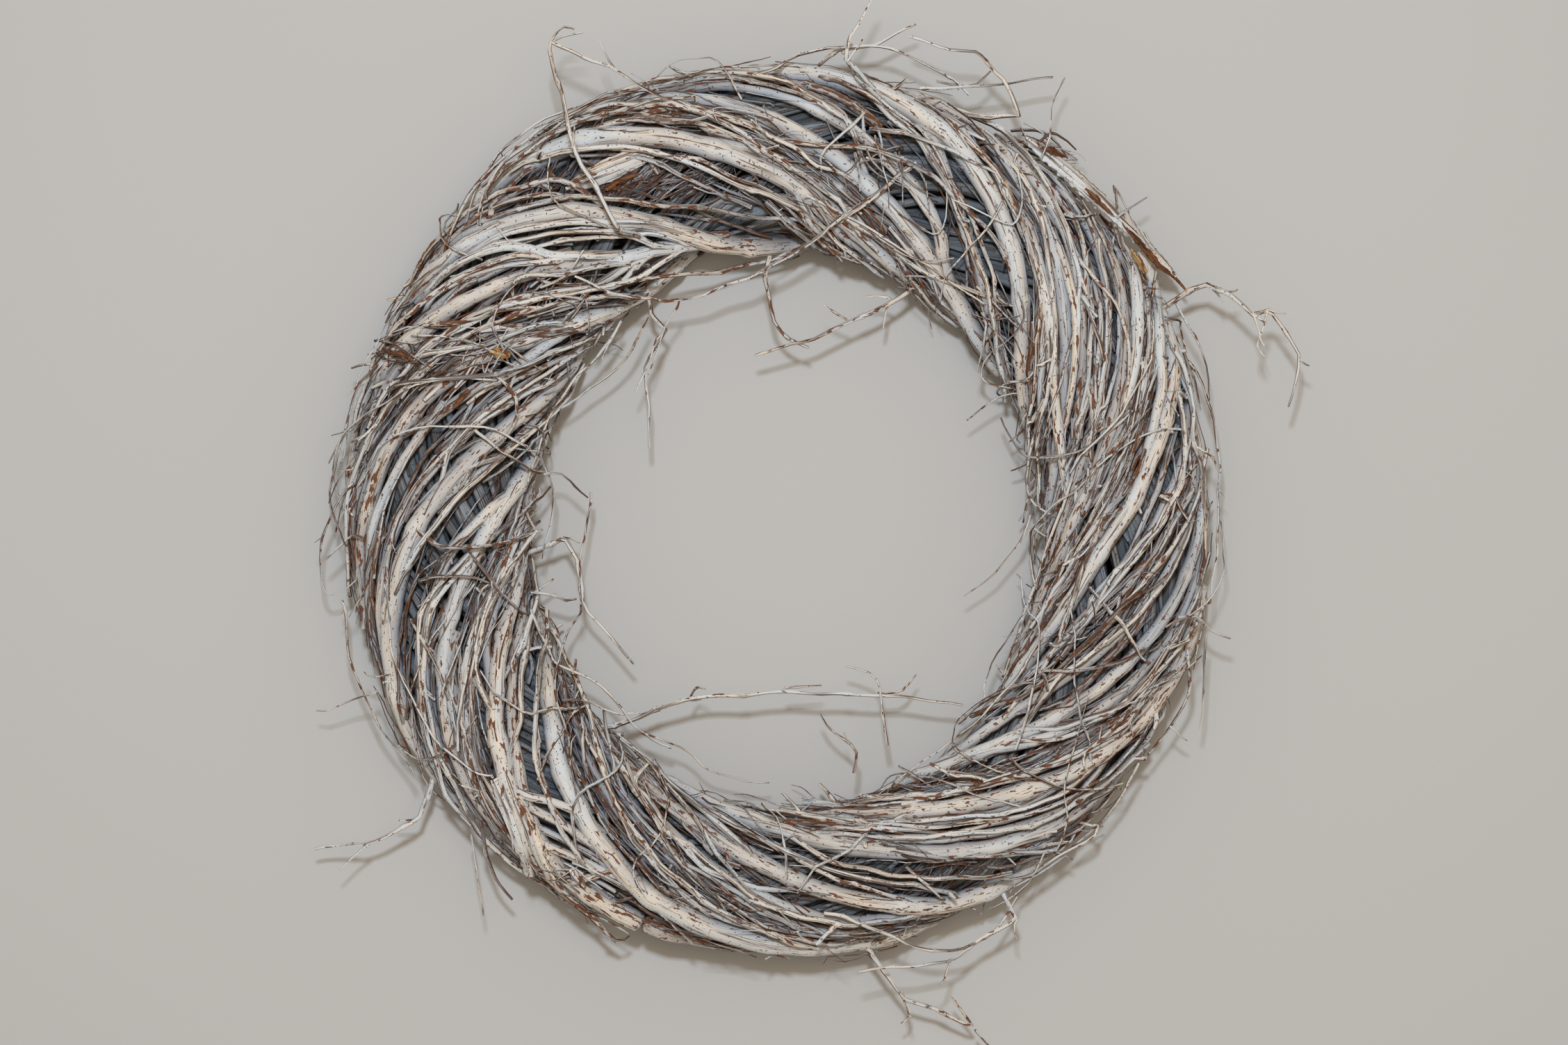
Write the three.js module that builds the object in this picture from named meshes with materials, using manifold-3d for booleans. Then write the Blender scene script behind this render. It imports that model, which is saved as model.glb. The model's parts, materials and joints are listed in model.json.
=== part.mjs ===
// A wreath of whitewashed twigs, lying face up on its back. Millimetres, +Z up.
// Bunched canes make the ring of the core. Forked boughs are wound round it in
// lanes that run side by side like the strands of a rope. On the front each bough
// climbs from the outer rim to the inner rim as it goes clockwise, and a back
// bough carries its lane on underneath. Every bough is one natural piece: its
// stem, its side branches, its twigs and any sprig that strays from the ring.

import * as THREE from 'three';
import { mergeVertices } from 'three/addons/utils/BufferGeometryUtils.js';
import loadManifold from 'manifold-3d';

const library = await loadManifold();
library.setup();

const DEG = Math.PI / 180;
const WELD = 1e-4;

// Ring: a loop a little taller than wide, as a mean and its right, top and oval terms
const RING_MID = { mean: 157.4, right: 1.6, top: -4.4, oval: -4.0 };
const RING_CENTRE = { x: -9.8, y: 3.3 };

// Core: half width by the same terms, half height, and the ring's height over the table
const CORE_WIDE = { mean: 30.3, right: -1.5, top: 4.0, oval: 1.75 };
const CORE_HIGH = 22.5;
const CORE_LEVEL = 29.8;
const CORE_BUNCHES = 8;
const CORE_CANES = 7;
const CORNERS_A_CANE = 3;
const CORE_STEPS = 4;
const CORE_GROOVE = 0.42;
const CORE_BREAK = 0.25;

// Winding: lanes along the ring, lanes round its section, and their slope
const LANES = 17;
const LANES_AROUND = 7;
const LANE_PITCH = 360 / LANES;
const TURN_RATE = LANES / LANES_AROUND;
const FIRST_CROWN = 182.1;
const SQUARE_INNER = -37.5;
const SQUARE_OUTER = -45;
const BUTT_BREAK = 2.5;
const LANE_MARGIN = 0.35;

// Ring angle where each lane crosses the crown of the front, clockwise from the left
const FRONT_CROWNS = [
  177.5, 155.5, 137, 121, 95.5, 80, 48, 36, 16, 2, -30, -50, -66, -86, -122, -142.5, -160,
];
const BACK_SHIFTS = [2, -3, 1, 3, -2, 0, 3, -1, -3, 2, 1, 4, 3, 0, -5, 2, -1];

// Section angle where the front bough of each lane begins, and where it ends
const FRONT_STARTS = [
  -12, -36, 12, -33, -8, -26, -14, -30, -10, -38, -20, -9, -32, -12, -24, 20, -30,
];
const FRONT_ENDS = [
  200, 214, 219, 181, 222, 196, 209, 192, 216, 198, 224, 206, 194, 218, 203, 196, 212,
];

// Seat of a stem on the canes, and how its thickness runs out towards its tip
const SEAT = 1.13;
const STEM_TAPER = 0.62;
const TIP_TAPER = 0.5;

// Front boughs: their lanes, stem radius, the rim the butt is at, sway in lanes, and
// forks as how far along they leave, how many lanes aside they go, how thick they are
// and which strand they leave. The stem is strand 0, and a drift moves it aside.
const FRONT_BOUGHS = [
  { lanes: [0], stem: 5.0, butt: 'outer', sway: 0.05, forks: [[0.1, 0.3, 0.5], [0.4, -0.3, 0.5]] },
  { lanes: [1], stem: 4.7, butt: 'inner', sway: -0.06, forks: [[0.25, -0.34, 0.6], [0.5, 0.3, 0.45]] },
  {
    lanes: [2, 3],
    stem: 5.0,
    butt: 'inner',
    sway: 0.04,
    drift: [0.2, 0.46],
    forks: [[0.2, -1.05, 0.74], [0.42, 0.34, 0.55, 1], [0.5, 0.3, 0.5], [0.34, -0.42, 0.5, 1]],
  },
  { lanes: [4], stem: 5.3, butt: 'outer', sway: -0.05, forks: [[0.3, 0.28, 0.5], [0.5, -0.3, 0.45]] },
  { lanes: [5], stem: 4.6, butt: 'inner', sway: 0.06, forks: [[0.15, 0.34, 0.65], [0.45, -0.25, 0.5]] },
  { lanes: [6], stem: 5.3, butt: 'outer', sway: 0.05, forks: [[0.2, -0.38, 0.5]] },
  { lanes: [7], stem: 4.3, butt: 'outer', sway: -0.04, forks: [[0.2, 0.3, 0.7]] },
  { lanes: [8], stem: 4.2, butt: 'inner', sway: 0.06, forks: [[0.2, -0.3, 0.7], [0.4, 0.3, 0.5]] },
  { lanes: [9], stem: 4.7, butt: 'outer', sway: 0.05, forks: [[0.1, 0.32, 0.6]] },
  { lanes: [10], stem: 3.9, butt: 'inner', sway: -0.06, forks: [[0.15, -0.32, 0.7], [0.3, 0.32, 0.7]] },
  { lanes: [11], stem: 5.0, butt: 'outer', sway: 0.04, forks: [[0.3, 0.3, 0.5], [0.5, -0.3, 0.5]] },
  { lanes: [12], stem: 4.4, butt: 'inner', sway: 0.05, forks: [[0.2, -0.32, 0.6], [0.45, 0.3, 0.5]] },
  { lanes: [13], stem: 4.6, butt: 'outer', sway: -0.05, forks: [[0.15, 0.3, 0.6], [0.4, -0.3, 0.5]] },
  { lanes: [14], stem: 5.5, butt: 'outer', sway: 0.03, forks: [[0.25, -0.35, 0.4]] },
  { lanes: [15], stem: 4.9, butt: 'outer', sway: 0.04, forks: [[0.1, -0.28, 0.6], [0.4, 0.3, 0.5]] },
  { lanes: [16], stem: 4.4, butt: 'inner', sway: 0.06, forks: [[0.2, 0.32, 0.6], [0.45, -0.3, 0.5]] },
];

// Sprigs that stray from the ring: the lane of their bough, the strand they leave and
// how far along it, their thickness, and the points they go through, measured from the
// middle of the ring and up from the table
const STRAY_SPRIGS = [
  {
    lane: 9, strand: 0, leaves: 0.17, thick: 1.3,
    points: [[190, 100, 44], [199, 97, 50], [209, 87, 54], [216, 89, 52], [231, 67, 46], [227, 46, 42]],
  },
  {
    lane: 2, strand: 1, leaves: 0.34, thick: 1.3,
    points: [[-70, 122, 74], [-90, 157, 78], [-100, 204, 70], [-72, 193, 72], [-50, 178, 73]],
  },
  {
    lane: 6, strand: 0, leaves: 0.2, thick: 1.2,
    points: [[30, 197, 62], [32, 208, 64], [42, 227, 62]],
  },
  {
    lane: 6, strand: 0, leaves: 0.11, thick: 1.1,
    points: [[28, 204, 40], [44, 206, 42], [63, 215, 46]],
  },
  {
    lane: 7, strand: 0, leaves: 0.18, thick: 1.2,
    points: [[108, 176, 50], [100, 190, 54], [86, 200, 56], [58, 208, 54]],
  },
  {
    lane: 0, strand: 0, leaves: 0.08, thick: 1.3,
    points: [[-160, -137, 34], [-183, -149, 36], [-212, -153, 30]],
  },
  {
    lane: 14, strand: 0, leaves: 0.12, thick: 1.3,
    points: [[49, -207, 36], [56, -219, 34], [88, -233, 28], [78, -218, 34]],
  },
  {
    lane: 13, strand: 0, leaves: 0.1, thick: 1.2,
    points: [[106, -182, 40], [76, -200, 46], [34, -203, 56]],
  },
  {
    lane: 13, strand: 0, leaves: 0.84, thick: 1.3,
    points: [[-64, -93, 36], [-40, -84, 40], [2, -79, 42], [44, -81, 40], [82, -88, 38]],
  },
  {
    lane: 4, strand: 0, leaves: 0.84, thick: 1.3,
    points: [[50, 94, 36], [30, 85, 40], [11, 76, 42], [-12, 69, 40]],
  },
  {
    lane: 1, strand: 0, leaves: 0.1, thick: 1.2,
    points: [[-56, 88, 36], [-50, 80, 40], [-59, 63, 42], [-59, 29, 40]],
  },
  {
    lane: 15, strand: 0, leaves: 0.86, thick: 1.2,
    points: [[-96, -12, 38], [-90, -22, 42], [-88, -42, 42], [-66, -69, 38]],
  },
];

// Bark that has lifted from a bough at the upper right rim: half width and half
// thickness, and the points it goes through
const BARK_STRIP = {
  lane: 8,
  strand: 0,
  leaves: 0.8,
  wide: 6,
  thin: 0.7,
  points: [[134, 150, 37], [148, 140, 40], [166, 123, 41], [181, 106, 39]],
};

// Twigs a lane and the least and most they stand over the canes, front then back
const FRONT_TWIGS = 4;
const FRONT_LIFTS = [4.5, 7.5];
const BACK_TWIGS = 2;
const BACK_LIFTS = [2.5, 4];

// Back boughs: stem radius, the most they sway, and their one fork
const BACK_STEM = 4.4;
const BACK_SWAY = 0.05;
const BACK_FORK = { leaves: [0.1, 0.4], aside: 0.3, thick: 0.6 };

// Ways a stem, a fork and a twig run. Lengths are shares of the bough's own length,
// and distances aside are in lanes.
const SWAY_WAVES = 0.9;
const DRIFT_RUN = 0.3;
const EDGE_INSET = 0.25;
const FORK_STOPS = [0.9, 1];
const FORK_PARTING = { least: 0.22, aLane: 0.3 };
const FORK_SETTLE = 0.2;
const FORK_LIFT = 1;
const TWIG_LEAVES = [0.02, 0.5];
const TWIG_LEAST_RUN = 0.35;
const TWIG_ASIDE = [0.24, 0.48];
const TWIG_RADII = [1.2, 1.6];
const TWIG_TAPER = 0.7;
const TWIG_PARTING = 0.16;
const TWIG_WAVE = { aside: 0.05, turns: 12 };

// Sides of a stem, a fork and a twig, and how many straight lengths stand in for the
// bends of a stem, a back stem, and a twig as long as its bough
const STEM_SIDES = 5;
const FORK_SIDES = 4;
const TWIG_SIDES = 3;
const STEM_STEPS = 9;
const BACK_STEPS = 6;
const TWIG_STEPS = 7;

// Where the draws of the front boughs, the back boughs and the back strands start
const FRONT_SEED = 100;
const BACK_SEED = 400;
const BACK_STRAND_SEED = 700;

// The block that everything under the table's level is cut off with
const TABLE = { side: 600, depth: 20 };

const BARK = { color: 0xd9d3c9, roughness: 0.85, metalness: 0 };
const BACK_BARK = { color: 0xc4bdb2, roughness: 0.88, metalness: 0 };
const CANE = { color: 0x9aa1a6, roughness: 0.9, metalness: 0 };

// Seeded draws between 0 and 1, so every build is the same
function seededDraw(seed) {
  let state = seed;
  return () => {
    state = (state + 0x6d2b79f5) | 0;
    let mixed = Math.imul(state ^ (state >>> 15), state | 1);
    mixed ^= mixed + Math.imul(mixed ^ (mixed >>> 7), mixed | 61);
    return ((mixed ^ (mixed >>> 14)) >>> 0) / 4294967296;
  };
}

function mix(low, high, share) {
  return low + (high - low) * share;
}

function ease(share) {
  const held = Math.min(1, Math.max(0, share));
  return held * held * (3 - 2 * held);
}

// Turn that lays a many-sided stem on a flat side, and how far that side is from its centre
function flatTurn(sides) {
  return sides % 2 === 0 ? Math.PI / sides : 0;
}

function flatShare(sides) {
  return Math.cos(Math.PI / sides);
}

function ringTerms(terms, theta) {
  const sides = terms.right * Math.cos(theta) + terms.top * Math.sin(theta);
  return terms.mean + sides + terms.oval * Math.cos(2 * theta);
}

// A point of the ring: ring angle and section angle in degrees, size of the section
function ringPoint(ringAngle, sectionAngle, share, lift) {
  const theta = ringAngle * DEG;
  const phi = sectionAngle * DEG;
  const wide = ringTerms(CORE_WIDE, theta) * share + lift;
  const high = CORE_HIGH * share + lift;
  const out = ringTerms(RING_MID, theta) + wide * Math.cos(phi);
  return new THREE.Vector3(
    RING_CENTRE.x + out * Math.cos(theta),
    RING_CENTRE.y + out * Math.sin(theta),
    CORE_LEVEL + high * Math.sin(phi),
  );
}

const FRONT_SHIFTS = FRONT_CROWNS.map((crown, lane) => crown - (FIRST_CROWN - LANE_PITCH * lane));

// A lane's shift along the ring, between the shifts of whole lanes
function laneShift(shifts, lane) {
  const whole = Math.floor(lane);
  const before = shifts[((whole % LANES) + LANES) % LANES];
  const after = shifts[(((whole + 1) % LANES) + LANES) % LANES];
  return mix(before, after, lane - whole);
}

// A point of the winding: its lane, its section angle and its height over the canes
function lanePoint(lane, sectionAngle, height) {
  const turns = Math.floor(sectionAngle / 360);
  const home = lane + LANES_AROUND * turns;
  const rise = Math.sin(sectionAngle * DEG);
  const shift = rise > 0 ? laneShift(FRONT_SHIFTS, home) * rise : laneShift(BACK_SHIFTS, home) * -rise;
  const ringAngle = FIRST_CROWN - LANE_PITCH * lane - (sectionAngle - 90) / TURN_RATE + shift;
  return ringPoint(ringAngle, sectionAngle, 1, height);
}

// Width of a lane square to its run, in millimetres a lane, on the side asked for
function laneRoom(lane, sectionAngle, height, side) {
  const step = 0.02;
  const here = lanePoint(lane, sectionAngle, height);
  const beside = lanePoint(lane + step * side, sectionAngle, height).sub(here);
  const ahead = lanePoint(lane, sectionAngle + 1, height).sub(here).normalize();
  return beside.addScaledVector(ahead, -beside.dot(ahead)).length() / step;
}

// A cylinder bent into place: place(reach, angle, station) gives each corner's point
function bentCylinder(sides, steps, place) {
  const geometry = new THREE.CylinderGeometry(1, 1, 1, sides, steps);
  geometry.deleteAttribute('normal');
  geometry.deleteAttribute('uv');
  const corners = geometry.getAttribute('position');
  for (let i = 0; i < corners.count; i += 1) {
    const reach = Math.hypot(corners.getX(i), corners.getZ(i));
    const angle = Math.atan2(corners.getZ(i), corners.getX(i));
    const station = Math.round((corners.getY(i) + 0.5) * steps);
    const point = place(reach, angle, station);
    corners.setXYZ(i, point.x, point.y, point.z);
  }
  return mergeVertices(geometry, WELD);
}

// A stem along points, one flat side down: a radius at its first and its last point,
// the way that is up at each point, and how much wider than thick it is
function stemGeometry(points, ups, firstRadius, lastRadius, sides, spread = 1) {
  const steps = points.length - 1;
  return bentCylinder(sides, steps, (reach, angle, station) => {
    const radius = reach * mix(firstRadius, lastRadius, station / steps);
    const behind = points[Math.max(0, station - 1)];
    const ahead = points[Math.min(steps, station + 1)];
    const run = new THREE.Vector3().subVectors(ahead, behind).normalize();
    const across = new THREE.Vector3().crossVectors(ups[station], run).normalize();
    const up = new THREE.Vector3().crossVectors(run, across);
    const turned = angle + flatTurn(sides);
    return points[station].clone()
      .addScaledVector(up, radius * Math.cos(turned))
      .addScaledVector(across, radius * spread * Math.sin(turned));
  });
}

function solidFrom(geometry) {
  const mesh = new library.Mesh({
    numProp: 3,
    vertProperties: new Float32Array(geometry.getAttribute('position').array),
    triVerts: new Uint32Array(geometry.index.array),
  });
  return new library.Manifold(mesh);
}

function geometryFrom(solid) {
  const mesh = solid.getMesh();
  const geometry = new THREE.BufferGeometry();
  geometry.setAttribute('position', new THREE.BufferAttribute(mesh.vertProperties, 3));
  geometry.setIndex(new THREE.BufferAttribute(mesh.triVerts, 1));
  geometry.computeVertexNormals();
  return geometry;
}

// The largest body of a solid, without sealed pockets and loose scraps
function mainBody(solid) {
  return solid.decompose().reduce((best, piece) => (piece.volume() > best.volume() ? piece : best));
}

function fuse(geometries) {
  return mainBody(geometries.map(solidFrom).reduce((sum, solid) => sum.add(solid)));
}

// One bunch of core canes: ridged like a bundle, twisted against the boughs' winding
function coreBunch(index) {
  const arc = 360 / CORE_BUNCHES;
  const first = arc * index + CORE_BREAK / 2;
  const last = arc * (index + 1) - CORE_BREAK / 2;
  const sides = CORE_CANES * CORNERS_A_CANE;
  return bentCylinder(sides, CORE_STEPS, (reach, angle, station) => {
    const ringAngle = mix(first, last, station / CORE_STEPS);
    const corner = Math.round((angle / DEG / 360) * sides) + sides;
    const share = reach * (corner % CORNERS_A_CANE === CORNERS_A_CANE - 1 ? CORE_GROOVE : 1);
    return ringPoint(ringAngle, angle / DEG + ringAngle * TURN_RATE, share, 0);
  });
}

// A point of a strand in its bough's lanes. The bough says where its lanes begin and
// end, and the strand how far aside it lies and how high.
function strandPoint(bough, strand, along, lift) {
  const run = bough.butt === 'outer' ? along : 1 - along;
  const radius = strandRadius(strand, along);
  const height = strand.height(along, radius) + lift;
  const asked = strand.aside(along);
  const side = Math.sign(asked) || 1;
  const edge = bough.lane + side * (bough.wide / 2 - EDGE_INSET);
  const room = laneRoom(edge, mix(bough.start, bough.end, run), height, side);
  const limit = bough.wide / 2 - (radius + LANE_MARGIN) / room;
  const aside = Math.max(-limit, Math.min(limit, asked));
  const start = bough.start + bough.startSlope * aside;
  const end = bough.end + bough.endSlope * aside;
  return lanePoint(bough.lane + aside, mix(start, end, run), height);
}

// How far the straight length between two stations sags below the strand's true bend
function strandSag(bough, strand, station) {
  if (station < 0 || station >= strand.steps) return 0;
  const along = (place) => mix(strand.from, strand.to, place / strand.steps);
  const behind = strandPoint(bough, strand, along(station), 0);
  const ahead = strandPoint(bough, strand, along(station + 1), 0);
  const middle = strandPoint(bough, strand, along(station + 0.5), 0);
  const above = strandPoint(bough, strand, along(station + 0.5), 1);
  const straight = behind.add(ahead).multiplyScalar(0.5);
  return Math.max(0, above.sub(middle).dot(middle.sub(straight)));
}

function strandGeometry(bough, strand) {
  const points = [];
  const ups = [];
  for (let i = 0; i <= strand.steps; i += 1) {
    const sag = Math.max(strandSag(bough, strand, i - 1), strandSag(bough, strand, i));
    const along = mix(strand.from, strand.to, i / strand.steps);
    const point = strandPoint(bough, strand, along, sag);
    points.push(point);
    ups.push(strandPoint(bough, strand, along, sag + 1).sub(point));
  }
  return stemGeometry(points, ups, strand.firstRadius, strand.lastRadius, strand.sides);
}

function strandRadius(strand, along) {
  const share = (along - strand.from) / (strand.to - strand.from);
  return mix(strand.firstRadius, strand.lastRadius, share);
}

// A bough's strands: its stem, then its forks, then its twigs
function boughStrands(bough, twigs, lifts, seed) {
  const draw = seededDraw(seed);
  const phase = draw();
  const [driftFrom, drift] = bough.drift ?? [0, 0];
  const strands = [{
    from: 0,
    to: 1,
    steps: bough.steps,
    sides: STEM_SIDES,
    firstRadius: bough.stem,
    lastRadius: bough.stem * STEM_TAPER,
    aside: (along) => {
      const swung = bough.sway * Math.sin(2 * Math.PI * (along * SWAY_WAVES + phase));
      return swung + drift * ease((along - driftFrom) / DRIFT_RUN);
    },
    height: (along, radius) => SEAT + radius * flatShare(STEM_SIDES),
  }];
  for (const [leaves, side, thickness, parent = 0] of bough.forks) {
    const from = strands[parent];
    const stop = mix(...FORK_STOPS, draw());
    const parting = Math.max(FORK_PARTING.least, Math.abs(side) * FORK_PARTING.aLane);
    strands.push({
      from: leaves,
      to: stop,
      steps: Math.round(TWIG_STEPS * (stop - leaves)),
      sides: FORK_SIDES,
      firstRadius: bough.stem * thickness,
      lastRadius: bough.stem * thickness * TIP_TAPER,
      aside: (along) => from.aside(along) + side * ease((along - leaves) / parting),
      height: (along, radius) => {
        const parted = ease((along - leaves) / FORK_SETTLE);
        return mix(from.height(along, strandRadius(from, along)), SEAT + radius + FORK_LIFT, parted);
      },
    });
  }
  for (let i = 0; i < twigs; i += 1) {
    const from = strands[bough.wide > 1 ? i % 2 : 0];
    const leaves = mix(Math.max(TWIG_LEAVES[0], from.from), TWIG_LEAVES[1], draw());
    const stop = mix(leaves + TWIG_LEAST_RUN, 1, draw());
    const side = (i % 4 < 2 ? 1 : -1) * mix(...TWIG_ASIDE, draw());
    const radius = mix(...TWIG_RADII, draw());
    const lift = mix(...lifts, draw());
    const wave = mix(-TWIG_WAVE.aside, TWIG_WAVE.aside, draw());
    strands.push({
      from: leaves,
      to: stop,
      steps: Math.round(TWIG_STEPS * (stop - leaves)),
      sides: TWIG_SIDES,
      firstRadius: radius,
      lastRadius: radius * TWIG_TAPER,
      aside: (along) => {
        const parted = ease((along - leaves) / TWIG_PARTING);
        return from.aside(along) * (bough.wide > 1 ? 1 : 1 - parted)
          + (side + wave * Math.sin(TWIG_WAVE.turns * along)) * parted;
      },
      height: (along, thin) => {
        const parted = ease((along - leaves) / TWIG_PARTING);
        return mix(from.height(along, strandRadius(from, along)), SEAT + thin + lift, parted);
      },
    });
  }
  return strands;
}

// The ways that are up along free points: away from the middle of the ring's section
function freeUps(points) {
  return points.map((point) => {
    const theta = Math.atan2(point.y - RING_CENTRE.y, point.x - RING_CENTRE.x);
    const mid = ringPoint(theta / DEG, 0, 0, 0);
    return point.clone().sub(mid).normalize();
  });
}

// A run of points that leaves one of a bough's strands and goes out to its own points
function strayPoints(bough, strand, leaves, points) {
  const free = points.map(([x, y, z]) => new THREE.Vector3(RING_CENTRE.x + x, RING_CENTRE.y + y, z));
  return [strandPoint(bough, strand, leaves, 0), ...free];
}

function sprigGeometry(bough, strands, sprig) {
  const points = strayPoints(bough, strands[sprig.strand], sprig.leaves, sprig.points);
  return stemGeometry(points, freeUps(points), sprig.thick, sprig.thick * TWIG_TAPER, TWIG_SIDES);
}

function barkGeometry(bough, strands) {
  const strip = BARK_STRIP;
  const points = strayPoints(bough, strands[strip.strand], strip.leaves, strip.points);
  const corner = strip.thin * Math.SQRT2;
  return stemGeometry(points, freeUps(points), corner, corner, FORK_SIDES, strip.wide / strip.thin);
}

function named(name, geometry, look) {
  const mesh = new THREE.Mesh(geometry, new THREE.MeshStandardMaterial(look));
  mesh.name = name;
  return mesh;
}

function twoDigits(number) {
  return String(number).padStart(2, '0');
}

function mean(values) {
  return values.reduce((sum, value) => sum + value, 0) / values.length;
}

function frontBoughs() {
  return FRONT_BOUGHS.map((entry, index) => {
    const wide = entry.lanes.length;
    const bough = {
      ...entry,
      wide,
      lane: mean(entry.lanes),
      steps: STEM_STEPS,
      start: mean(entry.lanes.map((lane) => FRONT_STARTS[lane])),
      startSlope: SQUARE_OUTER,
      end: mean(entry.lanes.map((lane) => FRONT_ENDS[lane])),
      endSlope: SQUARE_INNER,
    };
    const first = entry.lanes[0];
    const strands = boughStrands(bough, FRONT_TWIGS * wide, FRONT_LIFTS, FRONT_SEED + first);
    const geometries = strands.map((strand) => strandGeometry(bough, strand));
    for (const sprig of STRAY_SPRIGS.filter(({ lane }) => lane === first)) {
      geometries.push(sprigGeometry(bough, strands, sprig));
    }
    if (BARK_STRIP.lane === first) geometries.push(barkGeometry(bough, strands));
    return named(`front_bough_${twoDigits(index + 1)}`, geometryFrom(fuse(geometries)), BARK);
  });
}

// Everything under the table's level is cut off, which leaves the flats it rests on
function tableCut(solid) {
  const table = new THREE.BoxGeometry(TABLE.side, TABLE.side, TABLE.depth);
  table.deleteAttribute('normal');
  table.deleteAttribute('uv');
  table.translate(0, 0, -TABLE.depth / 2);
  return mainBody(solid.subtract(solidFrom(mergeVertices(table))));
}

function backBoughs() {
  return BACK_SHIFTS.map((_, lane) => {
    const draw = seededDraw(BACK_SEED + lane);
    const next = (lane + LANES_AROUND) % LANES;
    const aside = (toss) => (toss < 0.5 ? BACK_FORK.aside : -BACK_FORK.aside);
    const bough = {
      lane,
      wide: 1,
      steps: BACK_STEPS,
      stem: BACK_STEM,
      sway: mix(-BACK_SWAY, BACK_SWAY, draw()),
      butt: draw() < 0.5 ? 'outer' : 'inner',
      forks: [[mix(...BACK_FORK.leaves, draw()), aside(draw()), BACK_FORK.thick]],
      start: 360 + FRONT_STARTS[next] - BUTT_BREAK,
      startSlope: SQUARE_OUTER,
      end: FRONT_ENDS[lane] + BUTT_BREAK,
      endSlope: SQUARE_INNER,
    };
    const strands = boughStrands(bough, BACK_TWIGS, BACK_LIFTS, BACK_STRAND_SEED + lane);
    const solid = tableCut(fuse(strands.map((strand) => strandGeometry(bough, strand))));
    return named(`back_bough_${twoDigits(lane + 1)}`, geometryFrom(solid), BACK_BARK);
  });
}

function coreBunches() {
  const bunches = [];
  for (let index = 0; index < CORE_BUNCHES; index += 1) {
    bunches.push(named(`core_canes_${index + 1}`, coreBunch(index), CANE));
  }
  return bunches;
}

const wreath = new THREE.Group();
wreath.add(...coreBunches(), ...frontBoughs(), ...backBoughs());

export default wreath;
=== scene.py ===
"""A wreath of whitewashed twigs, lying face up on a plain floor.

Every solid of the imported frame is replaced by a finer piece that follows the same
winding: round stems with knots and forks, the canes of the core, and the fine twigs that
fill the grooves between the stems. Sizes are in metres, and places in the tables are in
millimetres from the ring's middle.
"""
import json
import logging
import math
import random
from collections.abc import Callable, Sequence
from dataclasses import dataclass, field
from enum import Enum

import bpy
import numpy as np
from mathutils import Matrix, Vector, noise

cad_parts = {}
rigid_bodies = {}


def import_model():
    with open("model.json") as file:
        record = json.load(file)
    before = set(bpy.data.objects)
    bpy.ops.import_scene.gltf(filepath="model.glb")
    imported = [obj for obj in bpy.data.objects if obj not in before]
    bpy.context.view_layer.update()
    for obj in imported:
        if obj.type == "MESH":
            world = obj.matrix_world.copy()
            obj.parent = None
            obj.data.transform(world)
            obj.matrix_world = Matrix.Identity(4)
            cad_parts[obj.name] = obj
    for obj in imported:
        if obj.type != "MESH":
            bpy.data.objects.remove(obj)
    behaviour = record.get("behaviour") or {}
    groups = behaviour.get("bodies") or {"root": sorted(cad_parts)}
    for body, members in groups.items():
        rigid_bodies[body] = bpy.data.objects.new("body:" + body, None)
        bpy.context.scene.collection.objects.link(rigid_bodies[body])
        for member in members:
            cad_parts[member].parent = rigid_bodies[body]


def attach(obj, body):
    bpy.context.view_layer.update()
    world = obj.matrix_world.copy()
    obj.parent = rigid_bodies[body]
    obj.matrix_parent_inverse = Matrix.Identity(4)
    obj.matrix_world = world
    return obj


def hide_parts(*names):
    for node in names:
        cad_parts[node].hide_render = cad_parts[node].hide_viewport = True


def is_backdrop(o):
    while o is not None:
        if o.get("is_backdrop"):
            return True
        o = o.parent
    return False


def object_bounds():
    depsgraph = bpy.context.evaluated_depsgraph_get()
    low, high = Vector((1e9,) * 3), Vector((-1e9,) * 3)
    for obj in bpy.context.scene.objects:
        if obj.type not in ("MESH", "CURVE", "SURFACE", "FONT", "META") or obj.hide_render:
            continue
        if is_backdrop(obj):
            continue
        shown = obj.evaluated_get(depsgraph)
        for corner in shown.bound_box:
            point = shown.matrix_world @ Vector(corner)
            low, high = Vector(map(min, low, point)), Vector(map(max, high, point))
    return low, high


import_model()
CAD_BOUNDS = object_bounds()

LOG = logging.getLogger("wreath")
MM = 0.001
WORD = 0xFFFFFFFF
BODY = "root"
KINK_SEED = 5
FULL_TURN = 2 * math.pi
Dice = random.Random
Pair = tuple[float, float]
Place = tuple[float, float, float]
Socket = bpy.types.NodeSocket
Way = Callable[[float], Vector]


def mix(low: float, high: float, share: float) -> float:
    """Goes from low to high as share goes from 0 to 1."""
    return low + (high - low) * share


def ease(share: float) -> float:
    """Goes smoothly from 0 to 1, and stays there outside that range."""
    held = min(1.0, max(0.0, share))
    return held * held * (3 - 2 * held)


def linear(colour: str) -> tuple[float, float, float, float]:
    """Turns an sRGB colour, six hex digits after a hash, to linear values and alpha."""
    parts = [int(colour[i:i + 2], 16) / 255 for i in (1, 3, 5)]
    return (*(p / 12.92 if p <= 0.04045 else ((p + 0.055) / 1.055) ** 2.4 for p in parts), 1.0)


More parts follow.
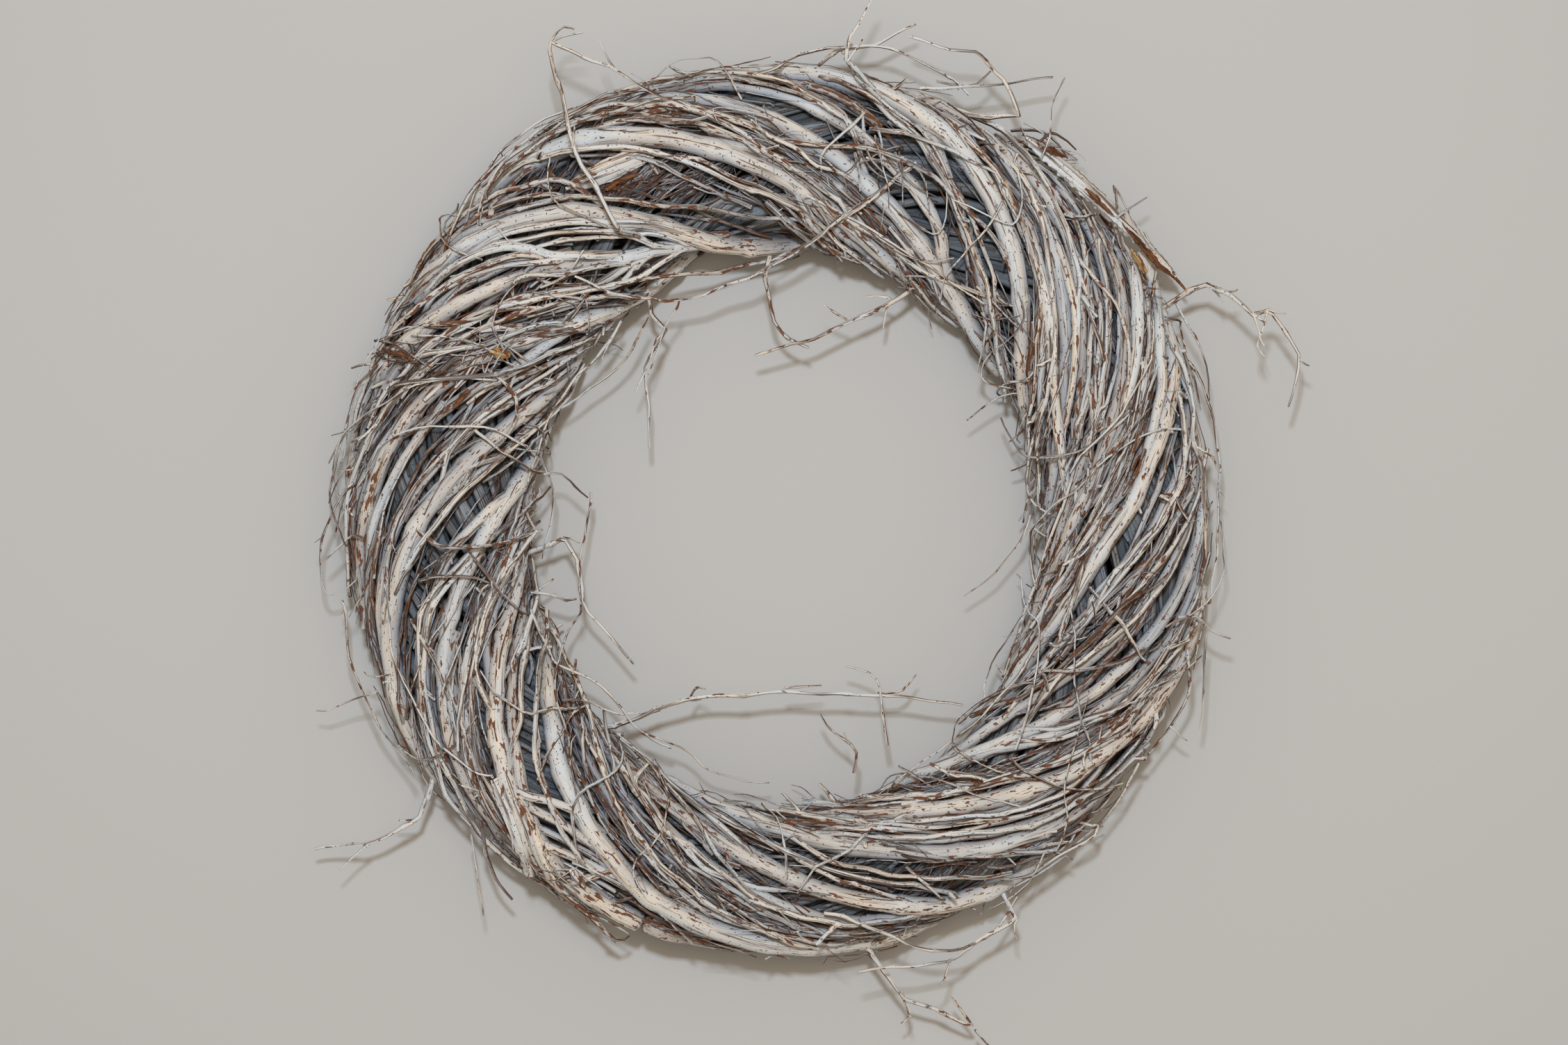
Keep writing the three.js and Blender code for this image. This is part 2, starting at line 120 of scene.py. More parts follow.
def add_node(
    tree: bpy.types.NodeTree, kind: str, inputs: dict, output: int | str = 0, **settings: object,
) -> Socket | None:
    """Adds a node with its settings, and with its inputs as values or links.

    Args:
        tree: the tree it goes in.
        kind: the node's type name.
        inputs: a value or another node's output, by input name or number.
        output: the name or number of the output that is wanted.
        settings: properties of the node.

    Returns:
        That output, or nothing where the node has none.
    """
    node = tree.nodes.new(kind)
    for name, value in settings.items():
        setattr(node, name, value)
    for socket, value in inputs.items():
        if isinstance(value, Socket):
            tree.links.new(value, node.inputs[socket])
        else:
            node.inputs[socket].default_value = value
    return node.outputs[output] if len(node.outputs) else None


def store(mesh: bpy.types.Mesh, name: str, values: Sequence, kind: str = "FLOAT") -> None:
    """Stores a value for each corner of a mesh, which the node trees read by its name."""
    column = mesh.attributes.new(name, kind, "POINT")
    column.data.foreach_set("vector" if kind == "FLOAT_VECTOR" else "value", values)


def put_in_scene(name: str, data: bpy.types.ID) -> bpy.types.Object:
    """Makes an object of a mesh, a light or a camera.

    Args:
        name: the object's name.
        data: what it is made of.

    Returns:
        The object, at the origin.
    """
    made = bpy.data.objects.new(name, data)
    bpy.context.scene.collection.objects.link(made)
    return made


class Draw:
    """Seeded draws between 0 and 1, in the order that the solids were made with."""

    def __init__(self, seed: int) -> None:
        """Starts the row of draws at a seed."""
        self.state = seed

    def __call__(self) -> float:
        """Gives the next draw.

        Returns:
            A value from 0 up to 1.
        """
        self.state = (self.state + 0x6D2B79F5) & WORD
        mixed = (self.state ^ (self.state >> 15)) * (self.state | 1) & WORD
        mixed ^= (mixed + (mixed ^ (mixed >> 7)) * (mixed | 61)) & WORD
        return (mixed ^ (mixed >> 14)) / (WORD + 1)

    def between(self, low: float, high: float) -> float:
        """Gives the next draw, between two values."""
        return mix(low, high, self())


class Rim(Enum):
    """The rim that a bough's thick end is at."""

    OUTER = "outer"
    INNER = "inner"


@dataclass(frozen=True)
class RingTerms:
    """A length that changes round the ring: a mean and its right, top and oval terms."""

    mean: float
    right: float
    top: float
    oval: float

    def at(self, theta: float, cos: Callable = math.cos, sin: Callable = math.sin) -> float:
        """Gives the length at an angle in radians, or at many by numpy's cosine and sine."""
        sides = self.right * cos(theta) + self.top * sin(theta)
        return self.mean + sides + self.oval * cos(2 * theta)


@dataclass(frozen=True)
class Winding:
    """The rule that boughs are wound by, the same as the solids': lanes round a ring."""

    centre: Pair = (-9.8 * MM, 3.3 * MM)
    ring_mid: RingTerms = RingTerms(157.4 * MM, 1.6 * MM, -4.4 * MM, -4.0 * MM)
    core_wide: RingTerms = RingTerms(30.3 * MM, -1.5 * MM, 4.0 * MM, 1.75 * MM)
    core_high: float = 22.5 * MM
    core_level: float = 29.8 * MM
    lanes: int = 17
    lanes_around: int = 7
    turn_rate: float = 17 / 7
    pitch: float = 360 / 17
    first_crown: float = 182.1
    crowns: tuple[float, ...] = (
        177.5, 155.5, 137, 121, 95.5, 80, 48, 36, 16, 2, -30, -50, -66, -86, -122, -142.5, -160,
    )
    back_shifts: tuple[float, ...] = (2, -3, 1, 3, -2, 0, 3, -1, -3, 2, 1, 4, 3, 0, -5, 2, -1)

    def ring_point(self, ring_angle: float, section_angle: float, share: float, lift: float) -> Vector:
        """Gives a point of the ring.

        Args:
            ring_angle: degrees round the ring, from the right.
            section_angle: degrees round the section, from the outer rim by the face.
            share: size of the section, where 1 is the core's surface.
            lift: distance over that.

        Returns:
            The point in the row frame.
        """
        theta = math.radians(ring_angle)
        phi = math.radians(section_angle)
        out = self.ring_mid.at(theta) + (self.core_wide.at(theta) * share + lift) * math.cos(phi)
        high = self.core_high * share + lift
        return Vector((
            self.centre[0] + out * math.cos(theta),
            self.centre[1] + out * math.sin(theta),
            self.core_level + high * math.sin(phi),
        ))

    def from_middle(self, x: float, y: float, z: float) -> Vector:
        """Gives the point that lies millimetres from the ring's middle and over the floor."""
        return Vector((self.centre[0] + x * MM, self.centre[1] + y * MM, z * MM))

    def on_face(self, x: float, y: float, lift: float) -> Vector:
        """Gives the point of the face over a place.

        Args:
            x: millimetres from the ring's middle.
            y: millimetres from the ring's middle.
            lift: millimetres over the core.

        Returns:
            The point in the row frame.
        """
        theta = math.atan2(y, x)
        out = math.hypot(x, y) * MM - self.ring_mid.at(theta)
        share = max(-1.0, min(1.0, out / (self.core_wide.at(theta) + lift * MM)))
        high = (self.core_high + lift * MM) * math.sqrt(1 - share * share)
        return Vector((self.centre[0] + x * MM, self.centre[1] + y * MM, self.core_level + high))

    def shift(self, shifts: Sequence[float], lane: float) -> float:
        """Gives a lane's shift along the ring, between the shifts of whole lanes."""
        whole = math.floor(lane)
        return mix(shifts[whole % self.lanes], shifts[(whole + 1) % self.lanes], lane - whole)

    def front_shifts(self) -> list[float]:
        """Gives how far each lane's crown is from even spacing."""
        return [crown - (self.first_crown - self.pitch * lane) for lane, crown in enumerate(self.crowns)]

    def lane_point(self, lane: float, section_angle: float, height: float) -> Vector:
        """Gives a point of the winding.

        Args:
            lane: the lane's number, with a share of a lane for places aside of it.
            section_angle: degrees round the section.
            height: distance over the canes.

        Returns:
            The point in the row frame.
        """
        home = lane + self.lanes_around * math.floor(section_angle / 360)
        rise = math.sin(math.radians(section_angle))
        if rise > 0:
            shift = self.shift(FRONT_SHIFTS, home) * rise
        else:
            shift = self.shift(self.back_shifts, home) * -rise
        ring_angle = self.first_crown - self.pitch * lane - (section_angle - 90) / self.turn_rate + shift
        return self.ring_point(ring_angle, section_angle, 1, height)

    def lane_room(self, lane: float, section_angle: float, height: float, side: float) -> float:
        """Gives the width of a lane square to its run.

        Args:
            lane: the lane's number.
            section_angle: degrees round the section.
            height: distance over the canes.
            side: 1 or -1, for the side that is measured.

        Returns:
            Metres a lane.
        """
        step = 0.02
        here = self.lane_point(lane, section_angle, height)
        beside = self.lane_point(lane + step * side, section_angle, height) - here
        ahead = (self.lane_point(lane, section_angle + 1, height) - here).normalized()
        return (beside - ahead * beside.dot(ahead)).length / step

    def sections(self, places: np.ndarray) -> tuple[np.ndarray, np.ndarray, np.ndarray]:
        """Gives where places lie in the ring's section.

        Args:
            places: rows of x, y and z.

        Returns:
            Their ring angles, and their distances out and up from the section's middle.
        """
        flat = places[:, :2] - np.array(self.centre)
        theta = np.arctan2(flat[:, 1], flat[:, 0])
        out = np.hypot(flat[:, 0], flat[:, 1]) - self.ring_mid.at(theta, np.cos, np.sin)
        return theta, out, places[:, 2] - self.core_level

    def lifts(self, places: np.ndarray) -> np.ndarray:
        """Gives how far places stand over the core's surface.

        Args:
            places: rows of x, y and z.

        Returns:
            One distance a row, negative inside the core.
        """
        theta, out, up = self.sections(places)
        share = np.hypot(out / self.core_wide.at(theta, np.cos, np.sin), up / self.core_high)
        return np.hypot(out, up) * (1 - 1 / np.maximum(share, 1e-6))

    def outward(self, places: np.ndarray) -> np.ndarray:
        """Gives the way out of the ring's section at places.

        Args:
            places: rows of x, y and z.

        Returns:
            One way of length 1 a row.
        """
        theta, out, up = self.sections(places)
        ways = np.column_stack((out * np.cos(theta), out * np.sin(theta), up))
        return ways / np.maximum(np.linalg.norm(ways, axis=1, keepdims=True), 1e-9)

    def outward_at(self, place: Vector) -> Vector:
        """Gives the way out of the ring's section at one place."""
        return Vector(self.outward(np.array([place]))[0])


WINDING = Winding()
FRONT_SHIFTS = WINDING.front_shifts()


@dataclass(frozen=True)
class Opening:
    """A gap between the stems through which the inner canes show, in millimetres from the middle."""

    x: float
    y: float
    half_length: float
    half_width: float
    tilt: float

    def holds(self, point: Vector) -> bool:
        """Tells whether a point lies over it.

        Args:
            point: a point in the row frame.

        Returns:
            Whether it is inside the gap's oval.
        """
        across = point.x / MM - WINDING.centre[0] / MM - self.x
        up = point.y / MM - WINDING.centre[1] / MM - self.y
        turn = math.radians(self.tilt)
        along = across * math.cos(turn) + up * math.sin(turn)
        aside = up * math.cos(turn) - across * math.sin(turn)
        return (along / self.half_length) ** 2 + (aside / self.half_width) ** 2 < 1


OPENINGS = tuple(Opening(*row) for row in (
    (-60, 148, 38, 9, 8), (-72, 121, 60, 16, 6), (-22, 116, 24, 6, 0), (-108, 98, 17, 7, 10),
    (-122, 109, 16, 6, 15), (147, -18, 14, 5, 62), (172, -33, 14, 5, 65), (80, -105, 30, 4.5, 18),
    (115, -103, 22, 4, 25), (105, -128, 42, 7, 15), (60, -163, 42, 6.5, 3), (-88, -148, 26, 14, -52),
    (-115, -95, 18, 8, -60), (58, 132, 20, 6, -28), (62, 152, 20, 7, -28), (55, 178, 22, 5, -35),
    (18, 172, 18, 4, -15), (125, 80, 22, 2.5, -85), (100, -141, 34, 5, 14), (100, 105, 12, 4, -45),
    (-142, -5, 20, 3.5, 60), (-75, -118, 10, 4, -50), (-122, 46, 13, 3, 48), (-166, 6, 13, 3, 65),
    (-155, 28, 12, 3.5, 60), (-104, 73, 12, 3, 25), (-140, 79, 14, 4, 42),
))


def over_gap(points: Sequence[Vector]) -> bool:
    """Tells whether any of some points lies over a gap between the stems."""
    return any(gap.holds(point) for gap in OPENINGS for point in points)


@dataclass
class Route:
    """The way that a twig runs, with its thickness, its place in the paint and its look."""

    points: list[Vector]
    radii: list[float]
    tone: float
    paint: float = 1.0
    is_stem: bool = False
    knots: list[int] = field(default_factory=list)


@dataclass
class Strand:
    """One stem, fork or twig of a bough, by how far along the bough it runs."""

    start: float
    stop: float
    first_radius: float
    last_radius: float
    aside: Callable[[float], float]
    height: Callable[[float, float], float]

    def radius(self, along: float) -> float:
        """Gives its radius at a share of the bough's length."""
        return mix(self.first_radius, self.last_radius, (along - self.start) / (self.stop - self.start))


@dataclass(frozen=True)
class GrowthRule:
    """How stems, forks and twigs run, as for the solids. Distances aside are in lanes."""

    seat: float = 1.13 * MM
    stem_taper: float = 0.62
    tip_taper: float = 0.5
    twig_taper: float = 0.7
    square_inner: float = -37.5
    square_outer: float = -45
    butt_break: float = 2.5
    lane_margin: float = 0.35 * MM
    sway_waves: float = 0.9
    drift_run: float = 0.3
    edge_inset: float = 0.25
    fork_stops: Pair = (0.9, 1)
    least_parting: float = 0.22
    parting_a_lane: float = 0.3
    fork_settle: float = 0.2
    fork_lift: float = 1 * MM
    twig_leaves: Pair = (0.02, 0.5)
    twig_least_run: float = 0.35
    twig_aside: Pair = (0.24, 0.48)
    twig_radii: Pair = (1.2 * MM, 1.6 * MM)
    twig_parting: float = 0.16
    twig_wave: float = 0.05
    twig_turns: float = 12
    flat_share: float = math.cos(math.pi / 5)


RULE = GrowthRule()


@dataclass
class Turn:
    """How a fork or twig turns away from its parent, by shares of the bough's length.

    It parts over one share and settles at its own height over another. The wave is in
    lanes, and kept is how much of its parent's run it keeps.
    """

    parent: Strand
    leaves: float
    side: float
    parting: float
    settle: float
    wave: float = 0.0
    kept: float = 1

    def aside(self, along: float) -> float:
        """Gives the distance aside in lanes, from the parent's to its own.

        Args:
            along: the share of the bough's length.

        Returns:
            The distance.
        """
        parted = ease((along - self.leaves) / self.parting)
        swung = (self.side + self.wave * math.sin(RULE.twig_turns * along)) * parted
        return self.parent.aside(along) * max(self.kept, 1 - parted) + swung

    def strand(self, stop: float, radius: float, taper: float, lift: float) -> Strand:
        """Makes the strand.

        Args:
            stop: the share of the bough's length that it ends at.
            radius: its radius where it leaves.
            taper: the share of that which is left at its end.
            lift: how far it stands over the canes.

        Returns:
            The strand.
        """

        def height(along: float, thin: float) -> float:
            """Gives the height over the canes, from the parent's to its own."""
            low = self.parent.height(along, self.parent.radius(along))
            return mix(low, RULE.seat + thin + lift, ease((along - self.leaves) / self.settle))

        return Strand(self.leaves, stop, radius, radius * taper, self.aside, height)


@dataclass
class Bough:
    """One natural bough: a stem with its forks and twigs, in one or two lanes."""

    lane: float
    wide: int
    stem: float
    butt: Rim
    sway: float
    forks: list[tuple[float, ...]]
    start: float
    end: float
    drift: Pair = (0, 0)
    strands: list[Strand] = field(default_factory=list)

    def grow(self, twigs: int, lifts: Pair, seed: int) -> None:
        """Makes its strands: the stem, then its forks, then its twigs.

        Args:
            twigs: how many twigs it has.
            lifts: the least and most that twigs stand over the canes.
            seed: where its draws start.
        """
        draw = Draw(seed)
        phase = draw()
        drift_from, drift = self.drift

        def aside(along: float) -> float:
            """Gives the stem's sway and drift."""
            swung = self.sway * math.sin(FULL_TURN * (along * RULE.sway_waves + phase))
            return swung + drift * ease((along - drift_from) / RULE.drift_run)

        def height(along: float, radius: float) -> float:
            """Gives the stem's height over the canes."""
            return RULE.seat + radius * RULE.flat_share

        last = self.stem * RULE.stem_taper
        self.strands = [Strand(0, 1, self.stem, last, aside, height)]
        for leaves, side, thickness, *parent in self.forks:
            stop = draw.between(*RULE.fork_stops)
            first = self.stem * thickness
            parting = max(RULE.least_parting, abs(side) * RULE.parting_a_lane)
            turns = Turn(self.strands[parent[0] if parent else 0], leaves, side, parting, RULE.fork_settle)
            self.strands.append(turns.strand(stop, first, RULE.tip_taper, RULE.fork_lift))
        for number in range(twigs):
            self.strands.append(self.twig(number, lifts, draw))

    def twig(self, number: int, lifts: Pair, draw: Draw) -> Strand:
        """Makes one of the twigs that the solids have too.

        Args:
            number: its number, which gives the strand and the side that it leaves.
            lifts: the least and most that it stands over the canes.
            draw: its draws.

        Returns:
            Its strand.
        """
        parent = self.strands[number % 2 if self.wide > 1 else 0]
        leaves = draw.between(max(RULE.twig_leaves[0], parent.start), RULE.twig_leaves[1])
        stop = draw.between(leaves + RULE.twig_least_run, 1)
        side = (1 if number % 4 < 2 else -1) * draw.between(*RULE.twig_aside)
        radius = draw.between(*RULE.twig_radii)
        lift = draw.between(*lifts)
        wave = draw.between(-RULE.twig_wave, RULE.twig_wave)
        kept = 1 if self.wide > 1 else 0
        turns = Turn(parent, leaves, side, RULE.twig_parting, RULE.twig_parting, wave, kept)
        return turns.strand(stop, radius, RULE.twig_taper, lift)

    def section_angle(self, aside: float, along: float) -> float:
        """Gives the section angle of a place aside of the bough's middle."""
        ends = (self.start + RULE.square_outer * aside, self.end + RULE.square_inner * aside)
        return mix(*ends, along if self.butt is Rim.OUTER else 1 - along)

    def place(self, aside: float, along: float, height: float) -> Vector:
        """Gives a place by its distance aside in lanes, its share along and its height."""
        return WINDING.lane_point(self.lane + aside, self.section_angle(aside, along), height)

    def held_aside(self, strand: Strand, along: float) -> float:
        """Gives a strand's distance aside, held inside the bough's own lanes.

        Args:
            strand: the strand.
            along: share along the bough.

        Returns:
            The distance in lanes.
        """
        radius = strand.radius(along)
        asked = strand.aside(along)
        side = math.copysign(1, asked) if asked else 1
        edge = self.lane + side * (self.wide / 2 - RULE.edge_inset)
        turned = self.section_angle(0, along)
        room = WINDING.lane_room(edge, turned, strand.height(along, radius), side)
        limit = self.wide / 2 - (radius + RULE.lane_margin) / room
        return max(-limit, min(limit, asked))

    def strand_point(self, strand: Strand, along: float) -> Vector:
        """Gives the middle of a strand at a share along the bough."""
        height = strand.height(along, strand.radius(along))
        return self.place(self.held_aside(strand, along), along, height)

    def bed(self, aside: float, along: float, thin: float, room: float) -> float:
        """Gives how high a thin twig has to lie to pass over the stem and forks.

        Args:
            aside: distance aside in lanes.
            along: share along the bough.
            thin: the twig's radius.
            room: width of a lane there.

        Returns:
            The height of the twig's middle over the canes.
        """
        lowest = RULE.seat + thin
        for strand in self.strands[:1 + len(self.forks)]:
            if not strand.start <= along <= strand.stop:
                continue
            radius = strand.radius(along)
            away = abs(aside - strand.aside(along)) * room
            reach = radius + thin
            if away < reach:
                top = strand.height(along, radius) + math.sqrt(reach * reach - away * away)
                lowest = max(lowest, top)
        return lowest


@dataclass(frozen=True)
class BarkShape:
    """How bark stands off a smooth stem: knots, kinks and closed ends.

    The dome that closes an end is given as distances past it and shares of the thickness.
    """

    first_knot: Pair = (0.2, 1)
    knot_gap: Pair = (18 * MM, 52 * MM)
    knot_reach: float = 2.0 * MM
    knot_grows: Pair = (0.6, 4 * MM)
    knot_rise: float = 0.4
    stem_share: float = 0.4
    kink_size: float = 15 * MM
    kink_starts: float = 20 * MM
    stem_wander: Pair = (0.7 * MM, 0.3 * MM)
    twig_wander: Pair = (1.7 * MM, 1.1 * MM)
    least_step: float = 0.4
    dome: tuple[Pair, ...] = ((0.22, 0.8), (0.34, 0.25))

    def knots(self, length: float, dice: Dice) -> list[float]:
        """Gives where a twig's knots are.

        Args:
            length: how long it is.
            dice: its draws.

        Returns:
            Distances from its start.
        """
        places = []
        at = dice.uniform(*self.first_knot) * self.knot_gap[0]
        while at < length - self.knot_reach:
            places.append(at)
            at += dice.uniform(*self.knot_gap)
        return places

    def swell(self, at: float, knots: Sequence[float], radius: float, rise: float) -> float:
        """Gives a radius with the knots' swelling.

        Args:
            at: distance from the twig's start.
            knots: where its knots are.
            radius: its radius without knots.
            rise: how much a knot adds, as a share of that.

        Returns:
            The radius.
        """
        reach = self.knot_reach * (self.knot_grows[0] + radius / self.knot_grows[1])
        swollen = sum(math.exp(-((at - knot) / reach) ** 2) for knot in knots)
        return radius * (1 + rise * min(1, swollen))

    def kinked(self, point: Vector, seed: float, amount: float) -> Vector:
        """Moves a point by a smooth wander."""
        where = point / self.kink_size + Vector((seed * 31.7, seed * 17.3, 0))
        return point + noise.noise_vector(where) * amount


SHAPE = BarkShape()


def bark_route(
    way: Way, radius: Callable[[float], float], length: float, spacing: float, dice: Dice,
    is_stem: bool = False, paint: float = 1.0,
) -> Route:
    """Makes a route along a way, with knots, kinks and closed ends.

    Args:
        way: gives a point for a share of the length.
        radius: gives the radius for a share of the length.
        length: how long it is, in metres.
        spacing: distance between its points where it is plain.
        dice: its draws.
        is_stem: whether it is drawn with a stem's sides.
        paint: how much of its whitewash is left.

    Returns:
        The route.
    """
    tone = dice.random()
    knots = SHAPE.knots(length, dice)
    steps = max(3, round(length / spacing))
    stations = {i * length / steps for i in range(steps + 1)}
    reach = SHAPE.knot_reach
    for knot in knots:
        stations.update(knot + reach * share for share in (-1, 0, 1) if 0 < knot + reach * share < length)
    ordered = sorted(stations)
    kept = [ordered[0]]
    for station in ordered[1:]:
        if station - kept[-1] > reach * SHAPE.least_step:
            kept.append(station)
    kink, bend = SHAPE.stem_wander if is_stem else SHAPE.twig_wander
    rise = SHAPE.knot_rise * (SHAPE.stem_share if is_stem else 1)
    corners = [0.0, *knots, length]
    offsets = [Vector((0, 0, 0)), *(Vector([dice.gauss(0, bend) for _ in range(3)]) for _ in corners[1:])]
    points = []
    radii = []
    for station in kept:
        share = station / length
        index = max(i for i, corner in enumerate(corners[:-1]) if corner <= station)
        part = (station - corners[index]) / (corners[index + 1] - corners[index])
        turned = offsets[index].lerp(offsets[index + 1], part)
        points.append(SHAPE.kinked(way(share), tone, kink * ease(station / SHAPE.kink_starts)) + turned)
        radii.append(SHAPE.swell(station, knots, radius(share), rise))
    at_knots = [i for i, station in enumerate(kept) if station in knots and 0 < i < len(kept) - 1]
    return rounded(Route(points, radii, tone, paint, is_stem, at_knots))


def rounded(route: Route) -> Route:
    """Closes a route's two ends with a short dome.

    Args:
        route: the route, which is changed.

    Returns:
        The same route.
    """
    for end, inner in ((0, 1), (-1, -2)):
        point = route.points[end]
        radius = route.radii[end]
        away = (point - route.points[inner]).normalized()
        places = [point + away * radius * past for past, _ in SHAPE.dome]
        radii = [radius * share for _, share in SHAPE.dome]
        if end == 0:
            route.points[:0] = places[::-1]
            route.radii[:0] = radii[::-1]
            route.knots = [knot + len(places) for knot in route.knots]
        else:
            route.points += places
            route.radii += radii
    return route


def curve_through(points: Sequence[Vector]) -> Way:
    """Gives a smooth way through points, by share of their number.

    Args:
        points: what it goes through.

    Returns:
        A function from a share to a point.
    """
    last = len(points) - 1

    def way(share: float) -> Vector:
        """Gives the point at a share, by a cubic through the four points round it.

        Args:
            share: how far along the points.

        Returns:
            The point.
        """
        place = min(last - 1e-9, max(0.0, share * last))
        index = int(place)
        t = place - index
        a, b, c, d = (points[max(0, min(last, index + step))] for step in (-1, 0, 1, 2))
        return 0.5 * (
            2 * b + (c - a) * t + (2 * a - 5 * b + 4 * c - d) * t * t + (3 * b - a - 3 * c + d) * t * t * t
        )

    return way


def way_length(way: Way, steps: int = 24) -> float:
    """Gives the length of a way, measured over even steps."""
    places = [way(i / steps) for i in range(steps + 1)]
    return sum((b - a).length for a, b in zip(places, places[1:]))


def tapered(
    points: Sequence[Vector], thin: float, end: float, spacing: float, dice: Dice, paint: float = 1.0,
    is_stem: bool = False, length: float = 0.0,
) -> Route:
    """Makes a twig that goes through points and thins towards its tip.

    Args:
        points: what it goes through.
        thin: its radius at the start.
        end: the share of that which is left at its tip.
        spacing: distance between its points.
        dice: its draws.
        paint: how much of its whitewash is left.
        is_stem: whether it is drawn with a stem's sides.
        length: its length, or 0 to measure it.

    Returns:
        Its route.
    """
    way = curve_through(points)
    run = length or way_length(way)
    return bark_route(way, lambda share: thin * mix(1, end, share), run, spacing, dice, is_stem, paint)


@dataclass(frozen=True)
class Twiglets:
    """Short side twigs and broken stubs that grow from a route's knots."""

    share: float
    lengths: Pair
    radii: Pair
    spread: Pair = (0.35, 1.0)
    half_turn: float = 1.35
    short_bias: float = 1.7
    run_bend: Pair = (-0.3, 0.5)
    side_bend: float = 0.3
    bend_share: float = 0.4
    most_of_parent: float = 0.75
    taper: float = 0.55
    spacing: float = 4.5 * MM

    def routes(self, parent: Route, dice: Dice) -> list[Route]:
        """Makes the side twigs of the route that they grow from."""
        return [self.twiglet(parent, knot, dice) for knot in parent.knots if dice.random() < self.share]

    def twiglet(self, parent: Route, knot: int, dice: Dice) -> Route:
        """Makes the side twig at one knot, leaning away from the core.

        Args:
            parent: what it grows from.
            knot: the number of the parent's point that it grows at.
            dice: its draws.

        Returns:
            Its route.
        """
        start = parent.points[knot]
        run = (parent.points[knot + 1] - parent.points[knot - 1]).normalized()
        outward = WINDING.outward_at(start)
        across = run.cross(outward).normalized()
        turn = dice.uniform(-self.half_turn, self.half_turn)
        aside = outward * math.cos(turn) + across * math.sin(turn)
        lean = dice.uniform(*self.spread)
        heading = (run * math.cos(lean) + aside * math.sin(lean)).normalized()
        length = mix(*self.lengths, dice.random() ** self.short_bias)
        bend = run * dice.uniform(*self.run_bend) + across * dice.gauss(0, self.side_bend)
        tip = start + heading * length + bend * length * self.bend_share
        thin = min(mix(*self.radii, dice.random()), parent.radii[knot] * self.most_of_parent)
        points = [start, start + heading * length * 0.5, tip]
        return tapered(points, thin, self.taper, self.spacing, dice, parent.paint, length=length)


